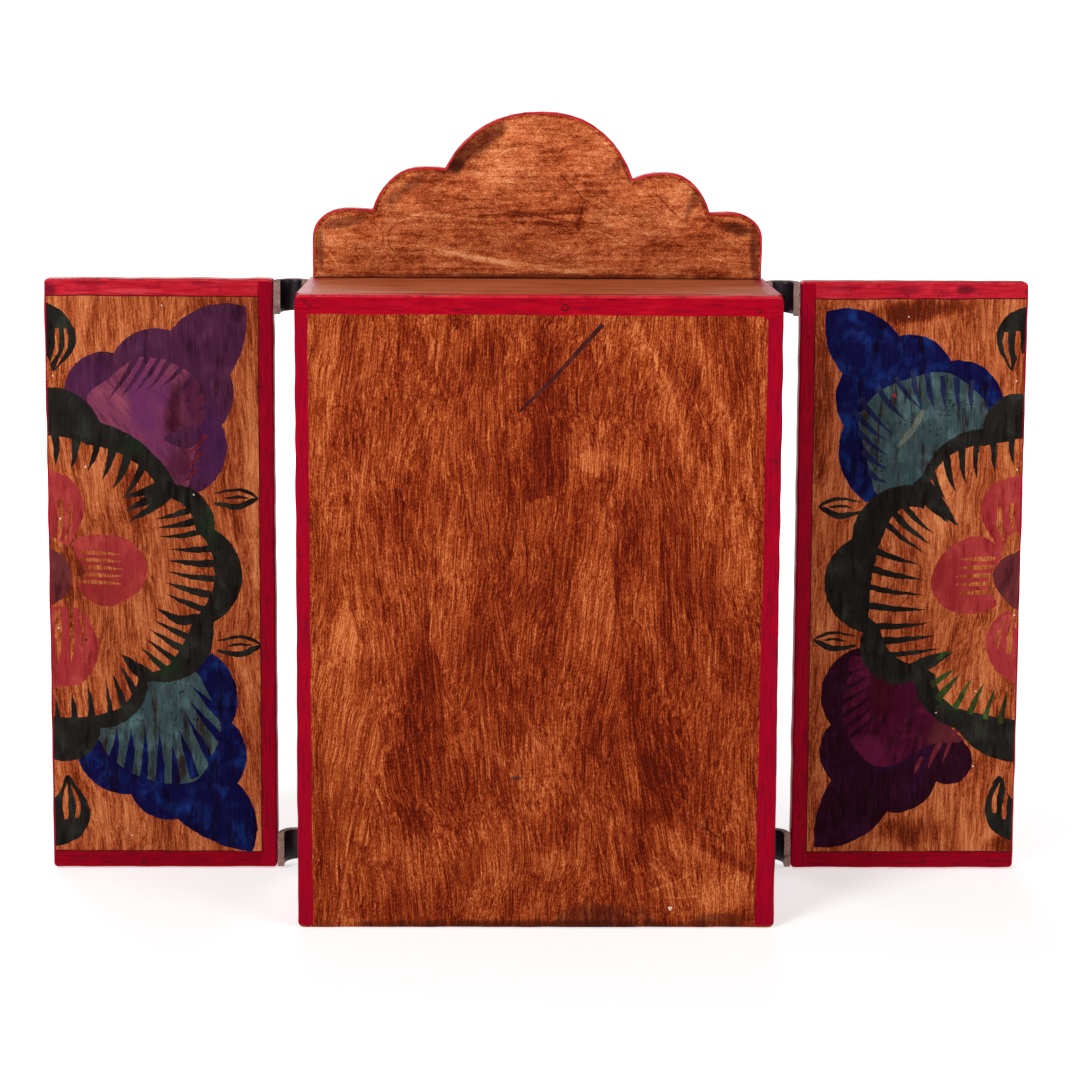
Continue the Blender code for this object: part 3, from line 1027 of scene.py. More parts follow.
def right_door_painting(ground):
    """Violet flower above, blue flower below, and half of the wreath and its flower between."""
    return [
        *flower("violet", (
            (7.5, 195.4, 0.23), (27.5, 209.6, 0.19), (49.7, 218.4, 0.16), (79.3, 228.2, 0.10),
            (73.1, 201.2, 0.14), (69.5, 180.8, 0.21), (59.6, 153.4, 0), (40, 160, 0), (12, 185, 0),
        )),
        ("mauve", smooth_loop((
            (16.5, 191.3), (24.5, 198.7), (31.6, 204.9), (37.9, 207.9), (45.1, 207.2), (52.3, 204.6),
            (57.8, 201), (61.4, 195.6), (63, 186), (60, 176), (57, 163), (52.9, 155.6), (24, 174),
        ))),
        *comb("violet", ((36.1, 208.4), (24.6, 190.7)), ((50.4, 209.2), (39.9, 194.1)), 4, 2.1),
        *comb("violet", ((55.6, 206.2), (45.2, 195.8)), ((65.8, 191), (59, 186.2)), 4, 2.1),
        ("violet", smooth_loop((
            (46.5, 175.6), (50, 172.8), (54, 171.6), (58.6, 172.4), (61.4, 178.6), (57, 180.4), (52, 178.8),
        ))),
        *comb("rose", ((62.6, 176.2), (55.5, 169)), ((58.4, 163), (53, 157.5)), 3, 1.8),
        *flower("blue", (
            (80.2, 6.4, 0.08), (50.2, 20, 0.18), (31.4, 30.2, 0.17), (10.5, 44.4, 0),
            (30, 70, 0), (64.8, 88.4, 0.19), (72.6, 59.9, 0.19), (74.6, 35, 0.155),
        )),
        ("teal", smooth_loop((
            (56.6, 82), (66.8, 62.4), (67.7, 55.5), (65.2, 47.7), (60.1, 38.3), (55.8, 35.4),
            (47.2, 34.7), (41.2, 35.7), (33.4, 38.4), (23.9, 45), (20.3, 51.1), (18, 60), (39, 79),
        ))),
        *comb("blue", ((23.9, 43.5), (26.3, 57.5)), ((42.9, 33.6), (43.1, 55.7)), 4, 3.4),
        *comb("blue", ((49.4, 33.6), (48.4, 50.9)), ((64.5, 42.8), (54.1, 62.9)), 3, 3.4),
        *comb("blue", ((68, 53), (55.4, 68.7)), ((68, 63), (56.6, 74.9)), 2, 3.2),
        *wreath(
            (
                (-5, 195.7, 0), (0.3, 195.7, 0.17), (21.3, 181.9, 0.106), (51.1, 157.1, 0.20),
                (66.5, 138.8, 0.30), (65.1, 100.8, 0.29), (39, 77.5, 0.21), (19.8, 57.6, 0.26),
                (0.5, 44.8, 0), (-5, 44.8, 0),
            ),
            (
                (-5, 176.5, 0), (0, 176.5, 0.06), (16, 172.8, 0.12), (44, 156, 0), (47.5, 151.4, 0.19),
                (58.6, 139, 0.22), (58, 103, 0.03), (48, 84, 0.1), (35.5, 80.5, 0.12), (26, 65, 0.05),
                (0, 62.2, 0), (-5, 62.2, 0),
            ),
            ground,
        ),
        *comb("leaf_green", ((3.3, 178.5), (3.5, 164)), ((20.4, 175), (16, 162)), 3, 3.2),
        *comb("leaf_green", ((26.7, 174), (21.9, 158.8)), ((38.5, 166), (30.1, 151.2)), 3, 3.4),
        *comb("leaf_green", ((48, 158), (29.6, 151.6)), ((49, 154), (31.8, 141.5)), 3, 4.6),
        *comb("leaf_green", ((59.4, 147.8), (42.3, 143)), ((61.3, 138), (44.1, 135.8)), 3, 2.8),
        *comb("leaf_green", ((67.5, 131.5), (47.8, 130.7)), ((62, 106.4), (46.4, 112.8)), 5, 2.9),
        ("leaf_green", brush(((60, 103), (52, 102), (42.9, 106.8)), 4.2)),
        *comb("leaf_green", ((55, 95.2), (41.7, 102.1)), ((46, 81.8), (36.7, 90.5)), 4, 2.7),
        ("leaf_green", brush(((41, 78), (34, 82.5), (28.5, 88)), 5.4)),
        *comb("leaf_green", ((33.6, 72.5), (27.7, 83.7)), ((23.6, 63.4), (21.9, 76.1)), 3, 2.7),
        *comb("leaf_green", ((15.9, 62.3), (14.8, 75.3)), ((2.1, 61), (1.8, 69.5)), 3, 2.5),
        *petal(
            "pink",
            ((-4, 161.4), (6.2, 160.8), (10.7, 157.2), (14, 151), (14.5, 145.6), (12.8, 140.3),
             (9.7, 135.1), (7.5, 132), (3, 135), (-4, 137)),
            ground,
            ((((4.8, 151), (5.4, 143), (3.6, 133)), 2.6), (((9, 149), (8.6, 141), (6.4, 133)), 1.4)),
        ),
        *petal(
            "pink",
            ((9.6, 133), (17.3, 136.5), (28.9, 135.7), (34.4, 132.5), (38, 127.5), (39.2, 122.2),
             (37.5, 116), (33.3, 111.8), (28.2, 109), (23.9, 107.5), (17.5, 109), (11.5, 115.5),
             (14.5, 121)),
            ground,
            tuple((((12.5, v + 0.4), (21, v), (30 - abs(v - 122) * 0.2, v - 0.5)), 1.7)
                  for v in (129.2, 126.2, 123.2, 120.2, 117.2)),
        ),
        *petal(
            "pink",
            ((-4, 75), (4.5, 74.8), (10.5, 75.4), (14.8, 78.4), (18.2, 83.9), (19.4, 90.8),
             (18, 96.8), (14.5, 103.4), (9, 107), (-4, 104)),
            ground,
            ((((3.4, 106), (3.4, 97), (3.4, 84.2)), 3.0), (((8.2, 108), (8.8, 98), (8.6, 84.9)), 2.2),
             (((12.2, 106), (13, 98), (13, 90)), 1.2)),
        ),
        ("heart", smooth_loop((
            (-4, 130.6), (4, 129.4), (7.6, 125.3), (9, 120.2), (8.2, 115.1), (4.8, 110), (-4, 108.6),
        ))),
        *petal(
            "leaf_green",
            ((-4, 229.4), (5.2, 227.4), (9.7, 222.9), (12.4, 215.8), (10.8, 209.6), (6.4, 205.2),
             (2.9, 202.1), (1, 208), (-4, 212)),
            ground,
            ((((8.2, 219), (8.4, 212), (4, 203.6)), 1.5), (((5, 219.4), (4.6, 211), (2, 205)), 1.7)),
        ),
        *petal(
            "leaf_green",
            ((5.9, 38), (9.4, 34.1), (12.9, 28.8), (14.9, 22.8), (13.1, 15.9), (8, 10.8), (-4, 9.2),
             (-4, 24), (2, 30)),
            ground,
            ((((5.2, 20), (5, 27), (5.8, 35)), 2.3), (((9.8, 20.4), (10, 27), (7.4, 34.4)), 2.2)),
        ),
        *all_in("leaf_green", painted_leaf((83.8, 151.5), 17.4, 3.4, 1.4)),
        *all_in("leaf_green", painted_leaf((84.5, 91.6), 17.6, 3.6, 1.4)),
        ("ink", blob((14.4, 94), 0.7)),
        *all_in("fleck", [blob(p, 0.35) for p in (
            (3, 200.2), (46.4, 228.6), (58.3, 152.8), (15.2, 164), (5, 143), (31.6, 13), (3.4, 98.6),
        )]),
    ]


def left_door_painting(ground):
    """Blue flower above, dark violet flower below, and the other half of the wreath between."""
    return [
        *flower("blue", (
            (9, 193.1, 0.20), (30.2, 207.7, 0.185), (51, 217.4, 0.17), (79.8, 227, 0.12),
            (73.1, 202.2, 0.15), (72.2, 181.7, 0.18), (62.7, 150.6, 0), (40, 160, 0), (12, 185, 0),
        )),
        ("teal", smooth_loop((
            (66.8, 184.4), (64.5, 188.4), (59.1, 194.7), (52.8, 198.3), (44.7, 201), (35.6, 203.2),
            (28.4, 201.5), (23, 198), (18.4, 194), (15.3, 188.7), (15, 178), (36, 165), (42, 152),
            (57.3, 153), (60.9, 161.7), (63.6, 171.5),
        ))),
        ("pale_teal", brush(((40.6, 188), (44, 181), (50.6, 173)), 3.2, 0.3, 0.4, 0.5)),
        *comb("blue_wash", ((61.4, 163), (54.1, 158.2)), ((67.4, 186.3), (54.6, 175.1)), 4, 2.3),
        *comb("blue_wash", ((65.2, 191.5), (52.3, 177.8)), ((51.3, 200), (41, 187.6)), 3, 2.3),
        *comb("blue_wash", ((44.9, 202.4), (41, 187.6)), ((21.6, 198.8), (21.2, 186.8)), 5, 2.2),
        ("red_top", blob((52.2, 193.6), 0.7)),
        *flower("night_violet", (
            (81, 8.6, 0.15), (51.6, 23.3, 0.2), (32, 35.9, 0.44), (20.7, 52, 0), (45, 80, 0),
            (63.3, 91.6, 0.28), (75.2, 59.8, 0.2), (74.6, 36.7, 0.08),
        )),
        ("magenta", smooth_loop((
            (66, 88), (68.4, 80), (70.4, 68), (69.8, 59.6), (64.6, 49.2), (57, 42.5), (48, 43.5),
            (42, 47.6), (33.3, 51.7), (22, 53), (28, 60), (45, 80),
        ))),
        *comb("night_violet", ((70.5, 80), (60, 84)), ((70, 52), (54, 66)), 6, 1.7),
        *comb("rose", ((24.5, 57), (29.8, 43.4)), ((38.3, 45), (41, 39.3)), 3, 1.9),
        *wreath(
            (
                (-5, 194.3, 0), (0, 194.3, 0.24), (16.5, 180.5, 0.18), (41.1, 157.3, 0.23),
                (68.3, 135.8, 0.34), (63.3, 97.6, 0.32), (42, 77.5, 0.147), (24.1, 58, 0.126),
                (0.3, 44.2, 0), (-5, 44.2, 0),
            ),
            (
                (-5, 176.7, 0), (0, 176.7, 0), (15, 173.5, 0.17), (37, 160, 0), (39.5, 147.8, 0.2),
                (53, 143.5, 0.06), (60.5, 103.7, 0), (55.8, 99.5, 0.2), (39.5, 84.2, 0),
                (33.3, 80.5, 0.12), (26, 67, 0.02), (0, 61.6, 0), (-5, 61.6, 0),
            ),
            ground,
        ),
        *comb("leaf_green", ((4.9, 178), (4.1, 165.6)), ((18.9, 174), (18.7, 159.7)), 3, 2.6),
        *comb("leaf_green", ((24.8, 172), (23, 158.3)), ((36.6, 164), (30.7, 151.2)), 3, 2.8),
        ("leaf_green", brush(((42, 160), (35, 151), (25.8, 141.2)), 7.4)),
        ("leaf_green", brush(((42, 157), (37, 150), (29.6, 142.5)), 4.2)),
        *comb("leaf_green", ((47.8, 150), (35.2, 137.8)), ((55.3, 142.8), (37.9, 129.3)), 3, 2.6),
        *comb("leaf_green", ((59.4, 131.4), (40.2, 125.3)), ((63, 109), (37.2, 106.8)), 4, 2.7),
        *comb("leaf_green", ((57.4, 100), (35.9, 101.7)), ((53, 88.4), (31.1, 91.3)), 3, 2.7),
        ("leaf_green", brush(((45, 81), (36, 85.5), (26.3, 89.8)), 6)),
        ("fresh_green", brush(((32.5, 86.4), (30, 89), (26.6, 89.6)), 1.8)),
        *comb("fresh_green", ((34.3, 76.6), (25.4, 83.1)), ((31.6, 71), (23.2, 80.9)), 2, 2.7),
        *comb("fresh_green", ((24.8, 67), (18.5, 78.8)), ((6.3, 61.4), (3.7, 73.7)), 4, 2.4),
        *petal(
            "pink",
            ((-4, 160.9), (7.7, 159.8), (14, 155.7), (16.6, 149.5), (15.9, 143.2), (12.3, 137),
             (7.8, 131.4), (4.5, 138), (-4, 140)),
            ground,
            ((((4.4, 150.4), (4, 144), (2, 136)), 2.6), (((9.4, 149), (9, 141.5), (7, 134.5)), 2.4)),
        ),
        *petal(
            "pink",
            ((7.6, 129.6), (13.2, 135.7), (19.5, 136.8), (25.8, 134.3), (31.2, 129.8), (34.8, 123.6),
             (35.9, 117.3), (34.1, 112.2), (30.6, 108.2), (26.3, 106), (19.3, 105.2), (14, 106.5),
             (9, 109.6), (13.5, 118)),
            ground,
            tuple((((10.5, v + 0.3), (18, v), (26.4 - abs(v - 120) * 0.25, v - 0.2)), 1.9)
                  for v in (127.6, 124.2, 120.8, 117.4, 114.0)),
        ),
        *petal(
            "pink",
            ((4.4, 106.4), (9.7, 103.1), (12.7, 97.9), (13.2, 91.8), (11.5, 86.6), (7.1, 80.6),
             (-4, 75), (-4, 92), (1.5, 99)),
            ground,
            ((((8, 91), (8.2, 97), (6.2, 103)), 1.7), (((3.8, 88.6), (3.6, 96), (3.2, 104)), 2.4)),
        ),
        ("heart", smooth_loop((
            (-4, 130.8), (3, 130.2), (7.5, 127.6), (11, 122.6), (10.4, 117.6), (6.6, 111.4), (3, 108),
            (-4, 107),
        ))),
        *petal(
            "leaf_green",
            ((-4, 228.8), (5.7, 227.4), (10.2, 223.4), (12.1, 218.1), (11.2, 211.8), (8.5, 207.4),
             (5.6, 203.6), (3, 210), (-4, 213)),
            ground,
            ((((8.4, 219), (8.4, 213), (6.2, 205.4)), 2.2), (((3.8, 219.6), (3.6, 212), (2.6, 205)), 2.3)),
        ),
        *petal(
            "leaf_green",
            ((6.1, 38.4), (10.3, 32.1), (12, 26), (11.2, 20), (7.3, 14.8), (-4, 10.4), (-4, 22),
             (2, 30)),
            ground,
            ((((4, 20.6), (3.8, 27), (3, 34)), 2.0), (((7.8, 23), (8, 29), (6.2, 35.4)), 2.2)),
        ),
        *all_in("leaf_green", painted_leaf((81.6, 148.6), 17, 3.5, 1.4)),
        *all_in("leaf_green", painted_leaf((82.8, 94.2), 17, 3.3, 1.3)),
        *all_in("fleck", [blob(p, 0.35) for p in (
            (47.2, 225), (4, 199.4), (32.6, 64.6), (17.2, 42.6), (17, 73.4), (2, 104.8), (2.6, 164),
        )]),
    ]


def unsteady(outline):
    """The outline as a hand would draw it, with small waves."""
    points = evenly([Vector(p) for p in outline], HAND_SPACING)
    return [
        p + HAND_WAVE * Vector((
            noise.noise((p.x / 2.6, p.y / 2.6, 1.5)) + noise.noise((p.x / 0.9, p.y / 0.9, 9.5)) / 2,
            noise.noise((p.x / 2.6, p.y / 2.6, 5.5)) + noise.noise((p.x / 0.9, p.y / 0.9, 3.5)) / 2,
        ))
        for p in points
    ]


def door_regions(width, height, side, ground, painting):
    """Red borders on three sides, the glaze and the painting over it, on one door's outer face."""
    past = PAST_EDGE
    field = ((-past, 6.6), (width - 5.9, 6.3), (width - 5.6, height - 6.8), (-past, height - 6.3))
    glazed = []
    for u, v in field:
        near_u = u if u < 0 else u - LINE_WIDTH
        near_v = v + LINE_WIDTH if v < height / 2 else v - LINE_WIDTH
        glazed.append((near_u, near_v))
    hinge_band = (
        (width - 6.4, -past), (width + past, -past), (width + past, height + past),
        (width - 6.2, height + past),
    )
    free_edge = ((-past, -1), (0.35, -1), (0.3, height + 1), (-past, height + 1))
    middle = height / 2
    return [
        # The border's upper half is a lighter copy of the red and its lower half a darker one: painted
        # light above, painted shade below
        ("red_top", rectangle(-past, middle, width + past, height + past)),
        ("red_bottom", rectangle(-past, -past, width + past, middle)),
        ("red_side", wavy_outline(hinge_band, 0.5, 7.7)),
        ("dark_line", wavy_outline(field, 0.3, 3.1 + side)),
        (ground, wavy_outline(glazed, 0.3, 3.1 + side)),
        *((colour, unsteady(shape)) for colour, shape in painting(ground)),
        *dent((36.5, 2.6), 1.2, "red_bottom"),
        *dent((width - 2.8, 21), 0.9, "red_side"),
        *dent((width - 4.6, 17.6), 0.7, "red_side"),
        ("dark_line", wavy_outline(free_edge, 0.2, 5.5)),
    ]


def framed(low, high, band, border, ground, seed):
    """A border band around glaze, for a plain face. Band is its width at left, right, bottom and top."""
    past = PAST_EDGE
    left, right, bottom, top = band
    field = rectangle(low[0] + left, low[1] + bottom, high[0] - right, high[1] - top)
    return [
        (border, rectangle(low[0] - past, low[1] - past, high[0] + past, high[1] + past)),
        (ground, wavy_outline(field, 0.3, seed)),
    ]


def make_door(side_name, side, ground, painting):
    """One painted door, standing for its CAD node."""
    node = side_name + "_door"
    low, high = node_size(node)
    width = high.x - low.x
    height = high.z - low.z
    start = Vector((-high.x, low.z))
    corner = Vector((-low.x, high.z))

    def on_face(point):
        u, v = point
        return Vector((start.x + u if side > 0 else corner.x - u, start.y + v))

    painted = [
        (colour, [on_face(p) for p in shape])
        for colour, shape in door_regions(width, height, side, ground, painting)
    ]
    plain = framed(start, corner, (6, 6, 6, 6), "red_side", ground, 11 + side)
    # The door's upper edge is the brighter red: a painted highlight on red paint
    door = board(
        "painted_" + node, "back", rounded_rectangle(start, corner, DOOR_CORNER), (high.y, low.y),
        painted, plain, "red_side", DOOR_ROUNDING, head="red_edge",
    )
    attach(door, side_name + "_door")
    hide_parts(node)


# Brush marks on the back, as it is seen from behind: places along each mark, and its width
BACK_PALE_MARKS = (
    (((54, 130), (54.8, 115), (55.4, 97)), 0.9),
    (((56.4, 136), (58, 132), (57, 127)), 1.0),
    (((12.4, 130), (10.4, 118), (8.6, 104)), 0.8),
    (((40, 78), (46, 70), (53, 58)), 1.6),
    (((46, 84), (51, 76), (57, 66)), 0.9),
    (((-56.5, 86), (-54, 73), (-51, 58)), 0.8),
    (((-62, 120), (-61, 100), (-62, 84)), 0.6),
    (((-70, 190), (-69, 172), (-70.4, 150)), 0.7),
    (((38, 226), (48, 206), (56, 182)), 1.3),
    (((43, 228), (54, 208), (64, 186)), 0.8),
    (((30, 228), (36, 214), (41, 198)), 0.6),
    (((-40, 226), (-37, 210), (-31, 196)), 0.9),
    (((-34, 222), (-30, 212), (-27, 204)), 0.6),
    (((6, 44), (9, 34), (10, 22)), 1.2),
    (((26, 40), (29, 28), (28, 16)), 0.9),
    (((60, 22), (50, 17), (38, 13)), 1.2),
    (((70, 16), (58, 12), (46, 12)), 0.7),
)
BACK_DEEP_MARKS = (
    (((-20, 108), (-21.4, 80), (-22.6, 52)), 0.7),
    (((-50, 208), (-46, 196), (-42, 184)), 0.8),
    (((-60, 216), (-56, 200), (-50, 186)), 0.5),
    (((-30, 176), (-26, 160), (-24, 146)), 0.9),
    (((-8, 168), (-4, 140), (-5, 112)), 0.7),
    (((28, 152), (29, 120), (26, 92)), 0.8),
    (((62, 160), (60, 140), (62, 118)), 0.6),
    (((-30, 74), (-26, 60), (-28, 44)), 1.0),
    (((48, 220), (58, 200), (68, 184)), 0.6),
    (((-82, 192), (-76, 198), (-70, 199)), 0.7),
    (((74, 150), (73, 120), (75, 90)), 0.5),
    (((4, 30), (6, 22), (4, 12)), 0.9),
)
BACK_DOTS = (
    (16, 182), (20, 184.6), (23.6, 186), (28, 183), (31, 185.4), (26, 176), (30.4, 173), (21, 165),
    (34, 178), (12, 176), (26, 170.6), (-62, 10), (-66, 8.4), (-58, 7.6), (70, 10), (74, 13),
)
CREST_PALE_MARKS = (
    (((-43, 252), (-24, 248.6), (-5, 243.6)), 1.1),
    (((-36, 250), (-14, 247.6), (8, 244.4)), 0.6),
    (((-56, 262), (-44, 266), (-34, 264)), 1.0),
    (((12, 262), (26, 258), (38, 252)), 0.7),
    (((22, 272), (34, 264), (46, 256)), 0.6),
    (((-20, 286), (-8, 292), (4, 291)), 0.9),
    (((-84, 252), (-80, 247), (-78, 244)), 0.9),
    (((66, 250), (74, 247), (82, 246)), 0.8),
)
CREST_DEEP_MARKS = (
    (((-37, 266), (-24, 268), (-10, 266.8)), 0.8),
    (((-30, 264), (-14, 265.4), (2, 263.6)), 0.5),
    (((-6, 266), (10, 263), (26, 262)), 0.9),
    (((0, 263.4), (12, 260.6), (22, 260)), 0.5),
    (((18, 271), (17, 265), (15, 259.6)), 1.4),
    (((44, 276), (52, 268), (60, 261)), 0.6),
    (((6, 284), (14, 276), (20, 270)), 0.6),
    (((-66, 263), (-61, 258), (-62, 250)), 0.9),
    (((-56, 262), (-59, 256), (-56, 249)), 0.7),
    (((-12, 298), (-24, 291), (-31, 283)), 1.0),
    (((62, 275), (66, 268), (68, 262)), 0.7),
)


def marks(colour, lines):
    """Thin brush marks that taper at both ends."""
    return all_in(colour, [unsteady(brush(line, width, 0.1, 0.1, 0.9)) for line, width in lines])


def make_back_panel():
    """The glazed back with its red border at the top and both sides."""
    low, high = node_size("back_panel")
    start = Vector((-high.x, low.z))
    corner = Vector((-low.x, high.z))
    outline = rounded_rectangle(start, corner, PANEL_CORNER)
    past = PAST_EDGE
    field = (
        (start.x + 5.7, -past), (corner.x - 7.4, -past), (corner.x - 5.7, corner.y - 9.0),
        (corner.x - 7.6, corner.y - 7.4), (start.x + 4.8, corner.y - 7.2),
    )
    regions = [
        ("red_side", rectangle(start.x - past, start.y - past, corner.x + past, corner.y + past)),
        ("red_band", rectangle(start.x - past, corner.y - 8, corner.x + past, corner.y + past)),
        ("back_glaze", wavy_outline(field, 0.3, 2.2)),
        *marks("back_deep", BACK_DEEP_MARKS),
        *marks("back_pale", BACK_PALE_MARKS),
        *all_in("back_deep", [blob(p, 0.6) for p in BACK_DOTS]),
        ("ink", brush(((-7.2, 197), (4, 208), (14, 219), (23.4, 229.4)), 1.6, 0.7, 1.1, 0.1)),
        ("ink", brush(((58, 41), (70, 34), (79, 19)), 0.5, 0.6, 0.2, 0.2)),
        *dent((9.4, 235.6), 1.5, "red_band"),
        *dent((81, 234.4), 0.9, "red_band"),
        ("fleck", blob((50.5, 7.6), 0.8)),
    ]
    inner = framed(start, corner, (0, 0, 0, 0), "inside_glaze", "inside_glaze", 1.0)
    # The panel's upper edge is the brighter red: a painted highlight on red paint
    panel = board(
        "painted_back_panel", "back", outline, (high.y, low.y), regions, inner, "red_side", PANEL_ROUNDING,
        foot="back_glaze", head="red_edge",
    )
    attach(panel, "box")
    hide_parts("back_panel")


def make_box_boards():
    """Top, bottom and side boards: glaze with red borders outside, plain glaze inside."""
    none = -PAST_EDGE
    # Node, facing, glaze, border paint, and the border's width at left, right, bottom and top
    plans = (
        # The top board's glaze carries painted light
        ("top_board", "top", "top_glaze", "red_gloss", (5, 5, none, none)),
        ("bottom_board", "bottom", "side_glaze", "red_side", (4.6, 5.4, 4, none)),
        ("right_side_board", "right", "side_glaze", "red_side", (5, 4, none, none)),
        ("left_side_board", "left", "side_glaze", "red_side", (4, 5, none, none)),
    )
    for node, facing, ground, border, band in plans:
        low, high = node_size(node)
        across, up, normal = (Vector(axis) for axis in FACINGS[facing])
        lefts, heights, depths = (sorted((low.dot(axis), high.dot(axis))) for axis in (across, up, normal))
        start, corner = (Vector(point) for point in zip(lefts, heights))
        inner, outer = depths
        regions = framed(start, corner, band, border, ground, outer)
        plain = framed(start, corner, (none,) * 4, "inside_glaze", "inside_glaze", inner)
        piece = board(
            "painted_" + node, facing, rounded_rectangle(start, corner, BOARD_CORNER), (outer, inner),
            regions, plain, "red_side", BOARD_ROUNDING,
        )
        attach(piece, "box")
        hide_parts(node)


def crest_outline():
    """The crest board's outline, read from its CAD node's widest ring and put in order."""
    points = [v.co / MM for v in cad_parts["crest_board"].data.vertices]
    low, high = node_size("crest_board")
    peak_y = max(points, key=lambda p: p.z).y
    rim = {(round(-p.x, 3), round(p.z, 3)) for p in points if abs(p.y - peak_y) < 0.01}
    top = sorted(p for p in rim if p[1] > low.z + 1)
    outline = [(-high.x, low.z), *top, (-low.x, low.z)]
    return [Vector(p) for p in outline[::-1]]


# Heavily wrinkled places on the back of the crest: centre, reach and depth
CREST_WRINKLES = (
    ((-60, 257), 9, 0.9),
    ((56, 254), 12, 0.6),
    ((-76, 252), 7, 0.6),
    ((-30, 284), 8, 0.5),
    ((78, 258), 8, 0.6),
)


# Widths of the darker rim on the crest's back and the red band on its front, and the relief's grid
CREST_RIM = 1.1
CREST_BAND = 3.2
CREST_SPACING = 0.9


def crest_relief(p, q):
    """Height of the crest's stippled, wrinkled paint over its flat face."""
    fine = noise.noise((p / 1.5, q / 1.1, 0.3))
    broad = noise.noise((p / 7, q / 4, 1.7))
    wrinkle = abs(noise.noise((p / 3.2, q / 2.6, 4.1)))
    height = 0.05 * fine + 0.12 * broad - 0.10 * wrinkle
    for (centre_p, centre_q), reach, depth in CREST_WRINKLES:
        share = math.exp(-((p - centre_p) ** 2 + (q - centre_q) ** 2) / reach**2)
        height -= depth * share * abs(noise.noise((p / 2.1, q / 3.4, 7.7)))
    return height


def crest_grid(outline, low, high):
    """Points inside the outline that carry the relief of the paint."""
    grid = []
    for i in range(int((high.x - low.x) / CREST_SPACING)):
        for j in range(int((high.z - low.z) / CREST_SPACING)):
            up = low.z + (j + 0.5 * (i % 2)) * CREST_SPACING
            grid.append((-high.x + i * CREST_SPACING, up))
    chosen = inside(np.array(grid), inset(outline, CREST_ROUNDING + 1.0))
    return [Vector(p) for p, keep in zip(grid, chosen) if keep]


def make_crest():
    """The scalloped crest board, with the red edge that just shows round its glazed back."""
    low, high = node_size("crest_board")
    outline = crest_outline()
    face = inset(outline, CREST_ROUNDING + 0.1)
    face = [p if p.y > low.z + 4 else Vector((p.x, low.z - 2)) for p in face]
    beyond = inset(outline, -PAST_EDGE)
    # The crest's edge is the brighter red: red paint with a painted highlight
    regions = [
        ("red_edge", beyond),
        ("crest_deep", face),
        ("crest_glaze", unsteady(inset(face, CREST_RIM))),
        *marks("crest_deep", CREST_DEEP_MARKS),
        *marks("crest_pale", CREST_PALE_MARKS),
    ]
    plain = [("red_side", beyond), ("crest_glaze", inset(outline, CREST_BAND))]
    crest = board(
        "painted_crest", "back", outline, (high.y, low.y), regions, plain, "red_edge",
        CREST_ROUNDING, crest_relief, crest_grid(outline, low, high), "crest_glaze",
    )
    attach(crest, "box")
    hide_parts("crest_board")


# Straps

STRAP_STEPS = 28
STRAP_END_STEPS = 6
STRAP_ROWS = 8
STRAP_THICKNESS = 2.5
STRAP_BOX_WIDTH = 11.6
STRAP_DOOR_WIDTH = 13.6
LEATHER_EDGE = 0.25

# How uneven the leather's two sides, its whole line and its cut ends are
GRAIN_ROUGHNESS = 0.10
FLESH_ROUGHNESS = 0.26
COARSE_ROUGHNESS = 0.06
END_ROUGHNESS = 0.22
EDGE_WAVE = 0.12


def leather_black():
    """Smooth black side of the leather, creased along the bend."""
    shader = Shader("leather_black", 0.42, 0.3)
    grain = shader.cells(shader.place, 0.8)
    crease = shader.noise(shader.place, (1.2, 1.2, 8), 4, 0.6)
    colour = shader.ramp(
        crease, ((0.3, srgb(12, 9, 12)), (0.62, srgb(34, 26, 34)), (0.8, srgb(66, 54, 58)))
    )
    height = shader.math("ADD", shader.math("MULTIPLY", grain, 0.4), crease)
    return shader.finish(colour, height, 0.12)


def leather_suede():
    """Rough grey-brown flesh side and cut edges of the leather."""
    shader = Shader("leather_suede", 0.95, 0.1)
    shader.surface.inputs["Sheen Weight"].default_value = 0.25
    fibre = shader.noise(shader.place, (0.7, 0.7, 1.6), 5, 0.75, 1.2)
    patch = shader.noise(shader.place, (3, 3, 3), 3, 0.6)
    colour = shader.ramp(
        fibre, ((0.25, srgb(80, 60, 56)), (0.5, srgb(148, 118, 108)), (0.75, srgb(206, 174, 158)))
    )
    colour = shader.mix(shader.between(patch, 0.5, 0.8), colour, srgb(84, 64, 60))
    return shader.finish(colour, fibre, 0.35)


def strap_bend(low, high, side):
    """Where the strap's middle line runs: its x at the box and at the door, and its bend."""
    near_x = low.x if side > 0 else high.x
    far_x = high.x if side > 0 else low.x
    box_x = near_x + side * STRAP_THICKNESS / 2
    door_x = far_x - side * STRAP_THICKNESS / 2
    radius = abs(door_x - box_x) / 2
    return box_x, door_x, low.y + STRAP_THICKNESS / 2 + radius, radius


def strap_line(bend, side, box_end, door_end):
    """The strap's middle line in x and y, from the box round its bend to the door."""
    box_x, door_x, bend_y, radius = bend
    middle_x = (box_x + door_x) / 2
    shares = [step / STRAP_END_STEPS for step in range(STRAP_END_STEPS + 1)]
    line = [Vector((box_x, box_end + (bend_y - box_end) * t)) for t in shares[:-1]]
    for step in range(STRAP_STEPS + 1):
        angle = math.pi * (1 + step / STRAP_STEPS)
        x = middle_x + side * radius * math.cos(angle)
        line.append(Vector((x, bend_y + radius * math.sin(angle))))
    line.extend(Vector((door_x, bend_y + (door_end - bend_y) * t)) for t in shares[1:])
    return line


